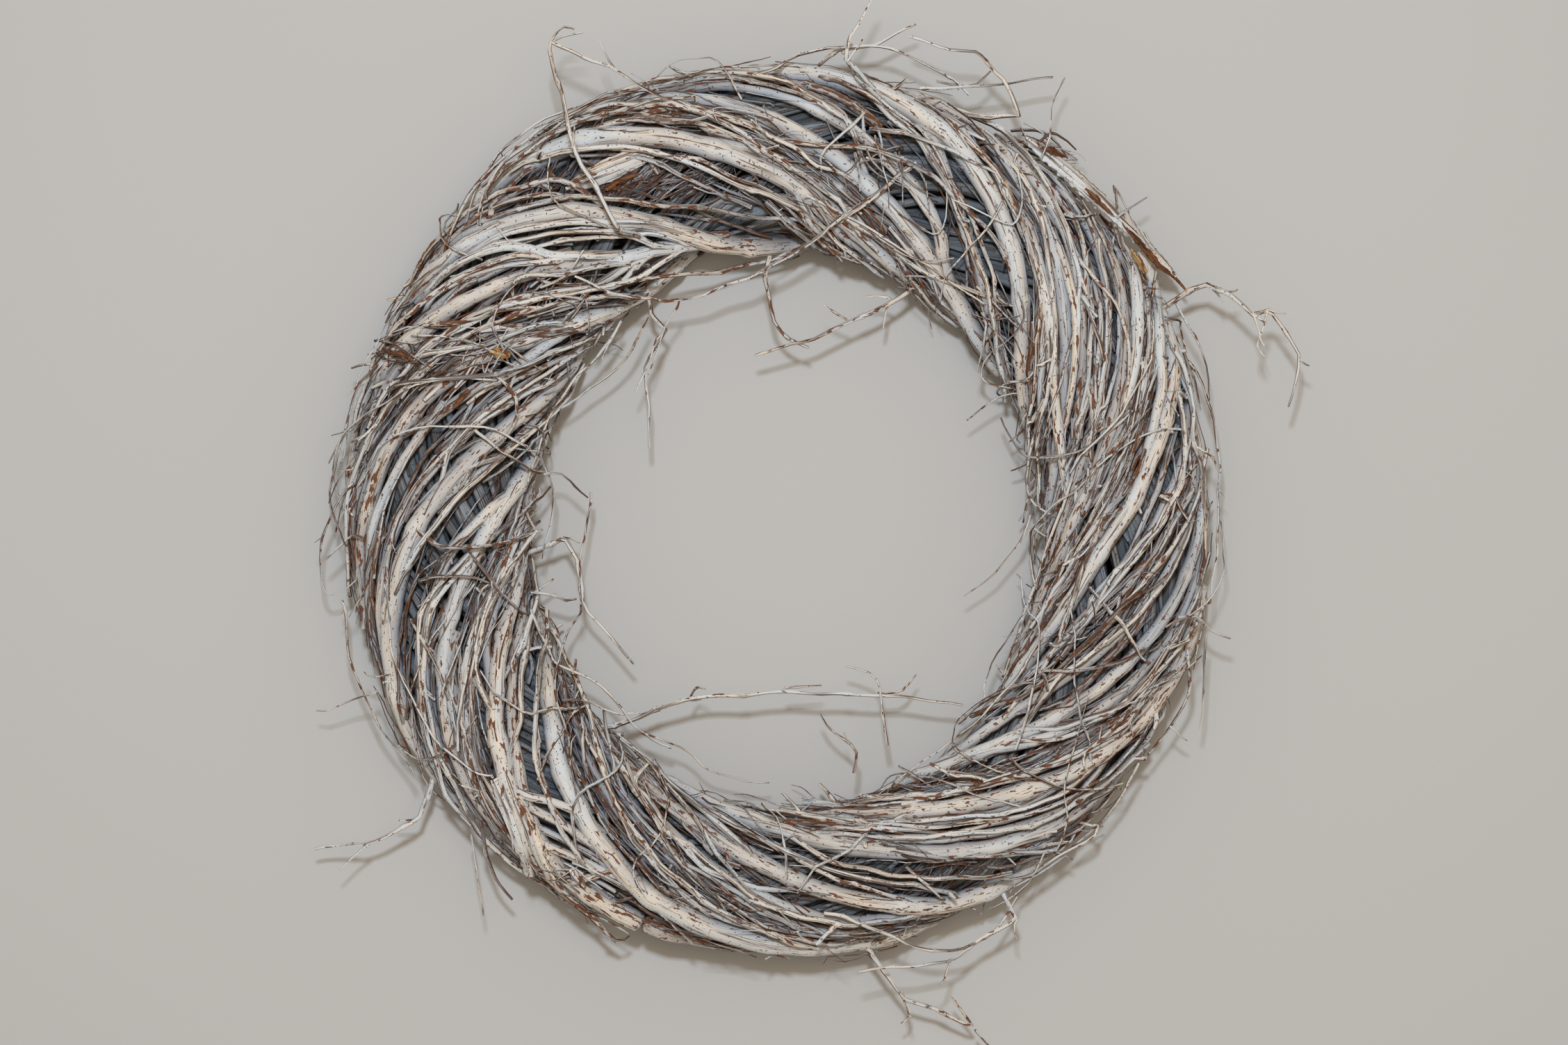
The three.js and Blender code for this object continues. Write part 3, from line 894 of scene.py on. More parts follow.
class TwigTree:
    """The node tree that turns routes into stems and twigs with round, uneven bark."""

    inputs = {
        "Routes": "Geometry", "Stem Sides": "Int", "Twig Sides": "Int", "Relief": "Float",
        "Relief Size": "Float", "Material": "Material",
    }
    columns = {
        "thick": "FLOAT", "tone": "FLOAT", "run": "FLOAT", "stem": "BOOLEAN", "around": "FLOAT_VECTOR",
        "grain": "FLOAT_VECTOR",
    }
    tone_shift = 7.0
    relief_stretch = (0.35, 1.0, 1.0)
    relief_detail = 2.0

    def __init__(self) -> None:
        """Builds the tree."""
        self.tree = bpy.data.node_groups.new("twigs along routes", "GeometryNodeTree")
        for name, kind in self.inputs.items():
            self.tree.interface.new_socket(name, in_out="INPUT", socket_type=f"NodeSocket{kind}")
        self.tree.interface.new_socket("Twigs", in_out="OUTPUT", socket_type="NodeSocketGeometry")
        self.given = self.add("NodeGroupInput", {}).node.outputs
        self.read = {
            name: self.add("GeometryNodeInputNamedAttribute", {"Name": name}, "Attribute", data_type=kind)
            for name, kind in self.columns.items()
        }
        self.build()

    def add(self, kind: str, inputs: dict, output: int | str = 0, **settings: object) -> Socket | None:
        """Adds a node to this tree."""
        return add_node(self.tree, kind, inputs, output, **settings)

    def tubes(self, routes: Socket, sides: Socket) -> Socket:
        """Makes round tubes along routes, each with its run and its way round as attributes.

        Args:
            routes: edges along the routes.
            sides: how many sides a tube has.

        Returns:
            The tubes.
        """
        curve = self.add("GeometryNodeMeshToCurve", {"Mesh": routes})
        along = self.add("GeometryNodeSplineParameter", {}, "Length")
        circle = self.add("GeometryNodeCurvePrimitiveCircle", {"Resolution": sides, "Radius": 1.0}, "Curve")
        place = self.add("GeometryNodeInputPosition", {})
        stored = [
            self.add(
                "GeometryNodeStoreNamedAttribute", {"Geometry": line, "Name": name, "Value": value},
                data_type=self.columns[name], domain="POINT",
            )
            for line, name, value in ((curve, "run", along), (circle, "around", place))
        ]
        return self.add("GeometryNodeCurveToMesh", {
            "Curve": stored[0], "Profile Curve": stored[1], "Scale": self.read["thick"], "Fill Caps": True,
        })

    def build(self) -> None:
        """Builds the tree's nodes and links."""
        chosen = {"Geometry": self.given["Routes"], "Selection": self.read["stem"]}
        parts = self.add("GeometryNodeSeparateGeometry", chosen, domain="POINT").node.outputs
        bare = self.add("GeometryNodeJoinGeometry", {})
        for part, sides in (("Selection", "Stem Sides"), ("Inverted", "Twig Sides")):
            self.tree.links.new(self.tubes(parts[part], self.given[sides]), bare.node.inputs[0])
        around = self.add(
            "ShaderNodeVectorMath", {0: self.read["around"], "Scale": self.read["thick"]}, operation="SCALE",
        )
        sides = self.add("ShaderNodeSeparateXYZ", {0: around}).node.outputs
        start = self.add(
            "ShaderNodeMath", {0: self.read["tone"], 1: self.tone_shift, 2: self.read["run"]},
            operation="MULTIPLY_ADD",
        )
        grain = self.add("ShaderNodeCombineXYZ", {0: start, 1: sides["X"], 2: sides["Y"]})
        bare = self.add(
            "GeometryNodeStoreNamedAttribute", {"Geometry": bare, "Name": "grain", "Value": grain},
            data_type="FLOAT_VECTOR", domain="POINT",
        )
        bare = self.add("GeometryNodeSetPosition", {"Geometry": bare, "Offset": self.relief()})
        for name in ("run", "around"):
            bare = self.add("GeometryNodeRemoveAttribute", {"Geometry": bare, "Name": name})
        for kind in ("GeometryNodeSetShadeSmooth", "GeometryNodeRealizeInstances"):
            bare = self.add(kind, {"Geometry": bare})
        dressed = self.add("GeometryNodeSetMaterial", {"Geometry": bare, "Material": self.given["Material"]})
        self.add("NodeGroupOutput", {"Twigs": dressed})

    def relief(self) -> Socket:
        """Makes the offset of uneven bark: a share of the thickness, stretched along the grain.

        Returns:
            The offset.
        """
        where = self.read["grain"]
        for operation, by in (("MULTIPLY", self.relief_stretch), ("DIVIDE", self.given["Relief Size"])):
            where = self.add("ShaderNodeVectorMath", {0: where, 1: by}, operation=operation)
        amount = self.add(
            "ShaderNodeTexNoise", {"Vector": where, "Scale": 1.0, "Detail": self.relief_detail},
            noise_dimensions="3D",
        )
        rows = (("SUBTRACT", 0.5), ("MULTIPLY", self.read["thick"]), ("MULTIPLY", self.given["Relief"]))
        for operation, by in rows:
            amount = self.add("ShaderNodeMath", {0: amount, 1: by}, operation=operation)
        outward = self.add("GeometryNodeInputNormal", {})
        return self.add("ShaderNodeVectorMath", {0: outward, "Scale": amount}, operation="SCALE")


@dataclass
class CoverMap:
    """How high the twigs stand all round the wreath, and so how deep each place lies among them.

    It is a grid over the core's surface, with the ring one way and the section the other.
    Surroundings are averaged over the reach, and what stands over the highest counts as
    that high, so loose twigs high over the face deepen no groove. The finishes paint shade,
    grey-blue and darker, where a place lies deep.
    """

    cell: float = 1.2 * MM
    reach: float = 4 * MM
    highest: float = 9.5 * MM
    step_share: float = 0.8
    across: tuple[float, ...] = (-0.8, -0.4, 0, 0.4, 0.8)

    def __post_init__(self) -> None:
        """Makes an empty map."""
        rows = round(FULL_TURN * WINDING.ring_mid.mean / self.cell)
        columns = round(math.pi * (WINDING.core_wide.mean + WINDING.core_high) / self.cell)
        self.tops = np.zeros((rows, columns))

    def cells(self, places: np.ndarray) -> tuple[np.ndarray, ...]:
        """Gives the row and column of each place.

        Args:
            places: rows of x, y and z.

        Returns:
            The rows and the columns.
        """
        theta, out, up = WINDING.sections(places)
        wide = WINDING.core_wide.at(theta, np.cos, np.sin)
        phi = np.arctan2(up / WINDING.core_high, out / wide)
        turns = zip((theta, phi), self.tops.shape)
        return tuple(np.floor(angle / FULL_TURN * count).astype(int) % count for angle, count in turns)

    def add(self, routes: Sequence[Route]) -> None:
        """Adds the upper side of routes to the map.

        Args:
            routes: the routes of a piece.
        """
        found = []
        for route in routes:
            points = np.array(route.points)
            ends = np.concatenate(([0.0], np.cumsum(np.linalg.norm(np.diff(points, axis=0), axis=1))))
            stations = np.arange(0, ends[-1], self.cell * self.step_share)
            if len(stations) < 2:
                continue
            middle = np.column_stack([np.interp(stations, ends, points[:, axis]) for axis in range(3)])
            thick = np.interp(stations, ends, route.radii)[:, None]
            outward = WINDING.outward(middle)
            side = np.cross(np.gradient(middle, axis=0), outward)
            side /= np.maximum(np.linalg.norm(side, axis=1, keepdims=True), 1e-9)
            for share in self.across:
                found.append(middle + side * thick * share + outward * thick * math.sqrt(1 - share * share))
        places = np.concatenate(found)
        np.maximum.at(self.tops, self.cells(places), np.minimum(WINDING.lifts(places), self.highest))

    def surroundings(self) -> np.ndarray:
        """Averages the heights of the twigs round each cell.

        Returns:
            A map of those heights.
        """
        span = round(self.reach / self.cell)
        grown = self.tops
        for axis in (0, 1):
            grown = np.maximum(grown, np.maximum(np.roll(grown, 1, axis), np.roll(grown, -1, axis)))
        shifts = range(-span, span + 1)
        for axis in (0, 1, 0, 1):
            grown = sum(np.roll(grown, shift, axis) for shift in shifts) / len(shifts)
        return grown


@dataclass(frozen=True)
class TubeSettings:
    """How finely a piece's stems and twigs are drawn, and how uneven their bark is."""

    stem_sides: int
    twig_sides: int
    relief: float = 0.3
    relief_size: float = 5 * MM


@dataclass
class Plan:
    """A piece to make: the node it stands for, its name's ending, its finish's slot and its routes."""

    node: str
    ending: str
    slot: str
    routes: list[Route]
    settings: TubeSettings

    @property
    def name(self) -> str:
        """The piece's name."""
        return f"{self.node}_{self.ending}"


class PieceMaker:
    """Turns the routes of plans into plain meshes that replace CAD nodes."""

    def __init__(self, plans: Sequence[Plan], finishes: dict[str, bpy.types.Material]) -> None:
        """Maps the twigs of all the plans.

        Args:
            plans: every piece that is made.
            finishes: the material of each slot.
        """
        self.twigs = TwigTree()
        self.finishes = finishes
        self.cover = CoverMap()
        for plan in plans:
            self.cover.add(plan.routes)
        self.around = self.cover.surroundings()

    def source(self, name: str, routes: Sequence[Route]) -> bpy.types.Object:
        """Makes a mesh of edges along routes, with what the tree reads as attributes.

        Args:
            name: the piece's name.
            routes: its routes.

        Returns:
            An object of that mesh.
        """
        edges = []
        base = 0
        for route in routes:
            count = len(route.points)
            edges += [(base + i, base + i + 1) for i in range(count - 1)]
            base += count
        mesh = bpy.data.meshes.new(name + "_routes")
        mesh.from_pydata([tuple(point) for route in routes for point in route.points], edges, [])
        store(mesh, "thick", [radius for route in routes for radius in route.radii])
        store(mesh, "tone", [route.tone for route in routes for _ in route.points])
        store(mesh, "paint", [route.paint for route in routes for _ in route.points])
        store(mesh, "stem", [route.is_stem for route in routes for _ in route.points], "BOOLEAN")
        return put_in_scene(name + "_routes", mesh)

    def make(self, plan: Plan) -> None:
        """Makes a plan's piece, and makes it stand for its node.

        Args:
            plan: what is made.
        """
        source = self.source(plan.name, plan.routes)
        modifier = source.modifiers.new("twigs", "NODES")
        modifier.node_group = self.twigs.tree
        settings = plan.settings
        values = {
            "Stem Sides": settings.stem_sides, "Twig Sides": settings.twig_sides, "Relief": settings.relief,
            "Relief Size": settings.relief_size, "Material": self.finishes[plan.slot],
        }
        for item in self.twigs.tree.interface.items_tree:
            if item.name in values:
                modifier[item.identifier] = values[item.name]
        graph = bpy.context.evaluated_depsgraph_get()
        mesh = bpy.data.meshes.new_from_object(source.evaluated_get(graph))
        mesh.name = plan.name
        spare = source.data
        bpy.data.objects.remove(source)
        bpy.data.meshes.remove(spare)
        self.finish_mesh(mesh)
        keep(put_in_scene(plan.name, mesh), plan.slot, plan.node)

    def finish_mesh(self, mesh: bpy.types.Mesh) -> None:
        """Sets a mesh on the floor, and stores how deep each corner lies and how far it faces up.

        Args:
            mesh: a piece's mesh, which is changed.
        """
        places = np.empty(len(mesh.vertices) * 3)
        mesh.vertices.foreach_get("co", places)
        rows = places.reshape(-1, 3)
        rows[:, 2] = np.maximum(rows[:, 2], 0)
        mesh.vertices.foreach_set("co", rows.ravel())
        # How deep each corner lies among its neighbours: the finishes paint shade there, grey-blue and
        # darker.
        store(mesh, "cover", self.around[self.cover.cells(rows)] - WINDING.lifts(rows))
        mesh.update()
        mesh.vertex_normals.foreach_get("vector", places)
        store(mesh, "facing", places[2::3])


def keep(piece: bpy.types.Object, slot: str, *nodes: str) -> None:
    """Makes a piece ride on the body and replace its nodes.

    Args:
        piece: the piece.
        slot: the record's material slot; not used.
        nodes: the CAD nodes that it stands for.
    """
    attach(piece, BODY)
    if nodes:
        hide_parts(*nodes)
    piece.data.calc_loop_triangles()
    LOG.info("%s: %d triangles", piece.name, len(piece.data.loop_triangles))


class Shade(Enum):
    """A kind of step in a finish: its node, its input sockets, its output and its settings."""

    SUM = ("ShaderNodeMath", (0, 1, 2), 0, {"operation": "MULTIPLY_ADD"})
    BAND = (
        "ShaderNodeMapRange", ("Value", "From Min", "From Max", "To Max"), 0,
        {"interpolation_type": "SMOOTHSTEP"},
    )
    BLEND = ("ShaderNodeMix", (0, 6, 7), 2, {"data_type": "RGBA"})
    TINT = ("ShaderNodeMix", (0, 6, 7), 2, {"data_type": "RGBA", "blend_type": "MULTIPLY"})


@dataclass(frozen=True)
class BarkFinish:
    """Whitewashed bark: chalky paint brushed over dry twigs.

    It dries matt and warm white on what stands out. Down in the grooves it is given a painted
    shade, grey-blue and then dark, over thinner paint and some dust. Brown bark shows through in
    long chips and on the twigs' sides, where it is also darkened as painted shade on sides that
    face away from the light above. Dark lines follow the grain, and small dark pores dot the
    smooth stems.
    """

    name: str
    paint_out: str = "#E8E4DB"
    # The grey-blue given down in the grooves: painted shade, with thinner paint.
    shaded_paint: str = "#A7ABB0"
    worn: str = "#979593"
    # Dark blue-grey deep in the grooves: painted shade, with some dust.
    dust: str = "#363B42"
    streak: str = "#757070"
    hairline: str = "#45332D"
    # Brown on the sides that face away from the light above: bare bark where paint missed, darkened as
    # painted shade.
    side: str = "#634030"
    bark: str = "#6E4124"
    knot: str = "#33231E"
    cool_tint: str = "#E0EFFF"
    warm_tint: str = "#FEF3E4"
    streak_strength: float = 0.8
    hairline_strength: float = 0.8
    side_bark_and_shade_strength: float = 0.75
    chip_level: float = 0.77
    chip_edge: float = 0.025
    bare: float = -1 * MM
    deep: float = 5 * MM
    patch_lift: float = 5 * MM
    dirt_and_shade_depths: Pair = (3 * MM, 8.5 * MM)
    chip_size: Pair = (5 * MM, 1.4 * MM)
    streak_size: Pair = (34 * MM, 1.3 * MM)
    hairline_size: Pair = (18 * MM, 0.5 * MM)
    patch_size: Pair = (60 * MM, 12 * MM)
    speck_size: Pair = (1.2 * MM, 1.2 * MM)
    paint_depth: float = 0.3 * MM
    roughness: float = 0.85
    gloss: float = 0.25

    def steps(self) -> list[tuple]:
        """Gives the finish step by step: a step's name, its kind and its inputs.

        Returns:
            Rows from the whitewash in the grooves to the relief. An input is a number, a
            colour, or the name of an attribute, a pattern or an earlier step.
        """
        total, band, blend = Shade.SUM, Shade.BAND, Shade.BLEND
        half_lift = self.patch_lift / 2
        return [
            ("thin", total, "paint", -1.0, 1.0),
            # Deep among the twigs the paint turns to the shaded paint colour: painted shade, along with
            # thinner paint.
            ("depth", total, "patches", self.patch_lift, "cover"),
            ("sunk", band, "depth", self.bare + half_lift, self.deep + half_lift, 1.0),
            ("limed", blend, "sunk", self.paint_out, self.shaded_paint),
            ("tone_wear", total, "tone", 0.25, -0.12),
            ("wear", total, "thin", 0.6, "tone_wear"),
            ("rubbed", blend, "wear", "limed", self.worn),
            ("sunk_streaks", total, "sunk", 0.03, "streaks"),
            ("line_level", total, "thin", 0.14, "sunk_streaks"),
            ("lines", band, "line_level", 0.52, 0.68, self.streak_strength),
            ("streaked", blend, "lines", "rubbed", self.streak),
            ("streaked_hairs", total, "streaks", 0.3, "hairlines"),
            ("hair_level", total, "thin", 0.14, "streaked_hairs"),
            ("hairs", band, "hair_level", 0.73, 0.8, self.hairline_strength),
            ("lined", blend, "hairs", "streaked", self.hairline),
            # Sides that face away from the light above go brown: bare bark, and painted shade.
            ("sideways", band, "facing", 0.7, 0.0, 1.0),
            ("side_level", total, "sideways", 0.2, "streaks"),
            ("sides", band, "side_level", 0.6, 0.76, self.side_bark_and_shade_strength),
            ("browned", blend, "sides", "lined", self.side),
            # Deep grooves go dark blue-grey: painted shade, with some dust.
            ("dustiness", band, "cover", *self.dirt_and_shade_depths, 0.8),
            ("dusted", blend, "dustiness", "browned", self.dust),
            ("patch_warmth", band, "patches", 0.4, 0.6, 0.4),
            ("twig_warmth", total, "tone", 0.2, "patch_warmth"),
            ("streak_warmth", band, "streaks", 0.42, 0.58, 1.0),
            ("warmth", total, "streak_warmth", 0.4, "twig_warmth"),
            ("tint", blend, "warmth", self.cool_tint, self.warm_tint),
            ("tinted", Shade.TINT, 1.0, "dusted", "tint"),
            ("patch_loss", total, "patches", 0.22, "flakes"),
            ("tone_loss", total, "tone", 0.1, "patch_loss"),
            ("loss", total, "thin", 0.085, "tone_loss"),
            ("chips", band, "loss", self.chip_level, self.chip_level + self.chip_edge, 0.95),
            ("chipped", blend, "chips", "tinted", self.bark),
            ("pores", band, "specks", 0.67, 0.71, 0.85),
            ("dotted", blend, "pores", "chipped", self.knot),
            ("hair_relief", total, "hairlines", 0.5, 0.0),
            ("chip_relief", total, "chips", -0.6, "hair_relief"),
            ("relief", total, "streaks", 0.9, "chip_relief"),
        ]

    def material(self) -> bpy.types.Material:
        """Builds the material.

        Returns:
            A matt material whose patterns follow the grain of each twig, from the length
            and width of a patch, a streak, a hairline, a flake and a pore.
        """
        made = bpy.data.materials.new(self.name)
        made.use_nodes = True
        tree = made.node_tree
        tree.nodes.clear()
        found: dict[object, object] = {}
        for name in ("grain", "tone", "cover", "paint", "facing"):
            output = "Vector" if name == "grain" else "Fac"
            found[name] = add_node(tree, "ShaderNodeAttribute", {}, output, attribute_name=name)
        for name, (long, wide), detail in (
            ("patches", self.patch_size, 1.0), ("streaks", self.streak_size, 3.0),
            ("hairlines", self.hairline_size, 2.0), ("flakes", self.chip_size, 4.0),
            ("specks", self.speck_size, 1.0),
        ):
            inputs = {0: found["grain"], 1: (long, wide, wide)}
            place = add_node(tree, "ShaderNodeVectorMath", inputs, operation="DIVIDE")
            inputs = {"Vector": place, "Scale": 1.0, "Detail": detail}
            found[name] = add_node(tree, "ShaderNodeTexNoise", inputs)
        for name, step, *given in self.steps():
            kind, sockets, output, settings = step.value
            values = [linear(v) if str(v).startswith("#") else found.get(v, v) for v in given]
            found[name] = add_node(tree, kind, dict(zip(sockets, values)), output, **settings)
        inputs = {"Strength": 1.0, "Distance": self.paint_depth, "Height": found["relief"]}
        bump = add_node(tree, "ShaderNodeBump", inputs)
        shader = add_node(tree, "ShaderNodeBsdfPrincipled", {
            "Base Color": found["dotted"], "Roughness": self.roughness, "Specular IOR Level": self.gloss,
            "Normal": bump,
        })
        add_node(tree, "ShaderNodeOutputMaterial", {"Surface": shader})
        return made


@dataclass(frozen=True)
class TwigFill:
    """The fine twigs that fill a bough's grooves, pass under its stems and lie over it.

    Places aside are in lanes, and places along are shares of the bough's length.
    """

    canes: int
    cane_radii: Pair
    twigs: int
    twig_radii: Pair
    low_twigs: int
    crossings: int
    aside: float = 0.56
    over_stems: float = 0.1
    most_covering: float = 0.22
    most_over: float = 0.7
    gap_weight: int = 3
    tries: int = 12
    leaves: Pair = (-0.02, 0.62)
    runs: Pair = (0.22, 0.8)
    last_stop: float = 1.04
    slant: float = 0.42
    thin_bias: float = 1.6
    pile: Pair = (0.0, 4.0 * MM)
    waves: Pair = (0.02, 0.09)
    wave_turns: Pair = (3, 9)
    stray_share: float = 0.35
    stray_lift: Pair = (3 * MM, 16 * MM)
    bow_share: float = 0.25
    bow: float = 5 * MM
    curl: float = 0.5
    curl_lift: float = 20 * MM
    backward_share: float = 0.35
    loose: Pair = (0.72, 0.28)
    cane_paint: Pair = (0.55, 1)
    twig_paint: Pair = (0.25, 0.95)
    paint_split: float = 1.1 * MM
    stations: int = 15
    low_slope: float = 1.7
    spacing: float = 8 * MM
    side_twigs: Twiglets = Twiglets(0.22, (4 * MM, 17 * MM), (0.35 * MM, 0.7 * MM))
    shreds: int = 0

    def routes(self, bough: Bough, density: float, dice: Dice) -> list[Route]:
        """Makes all of a bough's fine twigs.

        Args:
            bough: what they lie on and in.
            density: how many there are, as a share of the usual.
            dice: its draws.

        Returns:
            Their routes.
        """
        maker = FineTwigs(self, bough, dice)
        canes = round(self.canes * bough.wide * density)
        twigs = round(self.twigs * bough.wide * density)
        kinds = [self.cane_radii] * canes + [self.twig_radii] * twigs
        made = [route for radii in kinds for route in maker.fitted(radii)]
        made += [maker.low() for _ in range(self.low_twigs * bough.wide)]
        crossings = [maker.crossing() for _ in range(self.crossings)]
        sides = [twig for route in made for twig in self.side_twigs.routes(route, dice)]
        shreds = [maker.shred() for _ in range(self.shreds * bough.wide)]
        return made + crossings + [route for route in sides + shreds if not over_gap(route.points)]


@dataclass(frozen=True)
class FineTwigs:
    """Draws the fine twigs of one bough by the rule of its fill."""

    rule: TwigFill
    bough: Bough
    dice: Dice

    def fitted(self, radii: Pair) -> list[Route]:
        """Makes one fine twig in a groove, or one of the few over stems.

        Args:
            radii: the least and most that its thick end may be.

        Returns:
            Its route, or none if none fits.
        """
        rule, dice = self.rule, self.dice
        most = rule.most_covering
        if dice.random() < rule.over_stems:
            most = rule.most_over
            radii = rule.twig_radii
        for _ in range(rule.tries):
            made, covering = self.trial(radii)
            if covering < most:
                return [made]
        return []

    def trial(self, radii: Pair) -> tuple[Route, float]:
        """Makes a fine twig at a drawn place.

        Args:
            radii: the least and most that its thick end may be.

        Returns:
            Its route, and the share of it that lies over the stem or a fork.
        """
        rule, bough, dice = self.rule, self.bough, self.dice
        reach = bough.wide / 2 - 0.5 + rule.aside
        leaves = dice.uniform(*rule.leaves)
        stop = min(rule.last_stop, leaves + dice.uniform(*rule.runs))
        first = dice.uniform(-reach, reach)
        last = max(-reach, min(reach, first + dice.gauss(0, rule.slant)))
        thin = mix(*radii, dice.random() ** rule.thin_bias)
        pile = dice.uniform(*rule.pile) * dice.random()
        wave = dice.uniform(*rule.waves)
        turns = dice.uniform(*rule.wave_turns)
        phase = dice.uniform(0, FULL_TURN)
        strays = dice.random() < rule.stray_share
        lift = dice.uniform(*rule.stray_lift) if strays else 0.0
        bow = dice.uniform(0, rule.bow) if dice.random() < rule.bow_share else 0.0
        curl = dice.uniform(-rule.curl, rule.curl)
        backward = dice.random() < rule.backward_share
        count = rule.stations
        shares = [i / (count - 1) for i in range(count)]
        asides = [mix(first, last, t) + wave * math.sin(phase + turns * t) for t in shares]
        alongs = [mix(leaves, stop, t) for t in shares]
        heights = [self.bed(aside, along, thin) for aside, along in zip(asides, alongs)]
        rough = [bough.place(aside, along, thin) for aside, along in zip(asides, alongs)]
        covering = sum(height > RULE.seat + 2 * thin for height in heights) / count
        covering += rule.gap_weight * sum(over_gap([point]) for point in rough) / count
        for _ in range(3):
            padded = [heights[0], *heights, heights[-1]]
            heights = [max(h, (a + 2 * h + b) / 4) for a, h, b in zip(padded, heights, padded[2:])]
        points = []
        for t, aside, along, height in zip(shares, asides, alongs, heights):
            loose = ease((t - rule.loose[0]) / rule.loose[1])
            over = pile + bow * math.sin(math.pi * t) + lift * loose * loose
            points.append(bough.place(aside + curl * loose * (lift / rule.curl_lift), along, height + over))
        if backward and not strays:
            points.reverse()
        paint = dice.uniform(*(rule.cane_paint if thin > rule.paint_split else rule.twig_paint))
        return tapered(points, thin, 0.4, rule.spacing, dice, paint), covering

    def bed(self, aside: float, along: float, thin: float) -> float:
        """Gives how high a thin twig has to lie at a place of the bough."""
        angle = self.bough.section_angle(aside, along)
        return self.bough.bed(aside, along, thin, WINDING.lane_room(self.bough.lane + aside, angle, thin, 1))

    def low(self) -> Route:
        """Makes a twig low between the stems, which passes under them at a slant of its own.

        Returns:
            Its route.
        """
        rule, bough, dice = self.rule, self.bough, self.dice
        reach = bough.wide / 2 + 0.1
        thin = mix(rule.twig_radii[0], rule.cane_radii[1], dice.random() ** 2)
        height = RULE.seat + thin + dice.uniform(0, 3.5) * MM
        for _ in range(rule.tries // 3):
            leaves = dice.uniform(-0.02, 0.85)
            run = dice.uniform(0.12, 0.45)
            first = dice.uniform(-reach, reach)
            last = first + dice.gauss(0, rule.low_slope) * run
            wave = dice.gauss(0, 0.07)
            points = []
            for t in (0, 0.2, 0.4, 0.6, 0.8, 1):
                aside = mix(first, last, t) + wave * math.sin(FULL_TURN * t)
                along = min(1.05, leaves + run * t)
                points.append(bough.place(aside, along, height + dice.uniform(-0.3, 1) * MM))
            if not over_gap(points):
                break
        return tapered(points, thin, 0.6, rule.spacing, dice, dice.uniform(0.2, 0.9))

    def shred(self) -> Route:
        """Makes a splinter of loose bark that lies along the stems.

        Returns:
            Its route.
        """
        bough, dice = self.bough, self.dice
        aside = dice.uniform(-0.5, 0.5) * bough.wide
        along = dice.uniform(0.02, 0.95)
        run = dice.uniform(0.02, 0.09)
        slant = dice.gauss(0, 0.12)
        room = WINDING.lane_room(bough.lane + aside, bough.section_angle(aside, along), 0, 1)
        thin = dice.uniform(0.22, 0.42) * MM
        rest = bough.bed(aside, along, thin, room) + dice.uniform(0, 2) * MM
        tip = dice.uniform(0, 3.5) * MM
        points = [
            bough.place(aside + slant * t, along + run * t, rest + tip * rise)
            for t, rise in ((-0.5, 0.15), (0, 0), (0.5, 0.5), (1, 1))
        ]
        return tapered(points, thin, 0.5, 5 * MM, dice, dice.uniform(-0.5, 0.7))

    def crossing(self) -> Route:
        """Makes a thin stray that crosses over the stems at a slant of its own.

        Returns:
            Its route.
        """
        rule, bough, dice = self.rule, self.bough, self.dice
        leaves = dice.uniform(0.1, 0.8)
        stop = leaves + dice.uniform(-0.1, 0.4)
        first = dice.uniform(-0.5, 0.5)
        last = first + dice.choice((-1, 1)) * mix(0.5, 2.8, dice.random() ** 1.5)
        rest = dice.uniform(8, 11) * MM
        arch = dice.uniform(0, 6) * MM
        curl = dice.uniform(-0.9, 0.9)
        points = []
        for t in (0, 0.25, 0.5, 0.75, 1):
            along = mix(leaves, stop, t) + 0.08 * curl * math.sin(math.pi * t)
            points.append(bough.place(mix(first, last, t), along, rest + arch * math.sin(0.75 * math.pi * t)))
        thin = dice.uniform(0.45, 0.8) * MM
        return tapered(points, thin, 0.5, rule.spacing * 0.7, dice, dice.uniform(0.6, 1))


def strand_route(bough: Bough, strand: Strand, is_stem: bool, spacing: float, dice: Dice) -> Route:
    """Makes the route of a strand that the solids have too.

    Args:
        bough: the bough that it is part of.
        strand: the strand.
        is_stem: whether it is drawn with a stem's sides.
        spacing: distance between its points.
        dice: its draws.

    Returns:
        Its route.
    """

    def way(share: float) -> Vector:
        """Gives the point at a share of the strand."""
        return bough.strand_point(strand, mix(strand.start, strand.stop, share))

    def radius(share: float) -> float:
        """Gives the radius there."""
        return mix(strand.first_radius, strand.last_radius, share)

    return bark_route(way, radius, way_length(way), spacing, dice, is_stem, 1.3 if is_stem else 0.9)


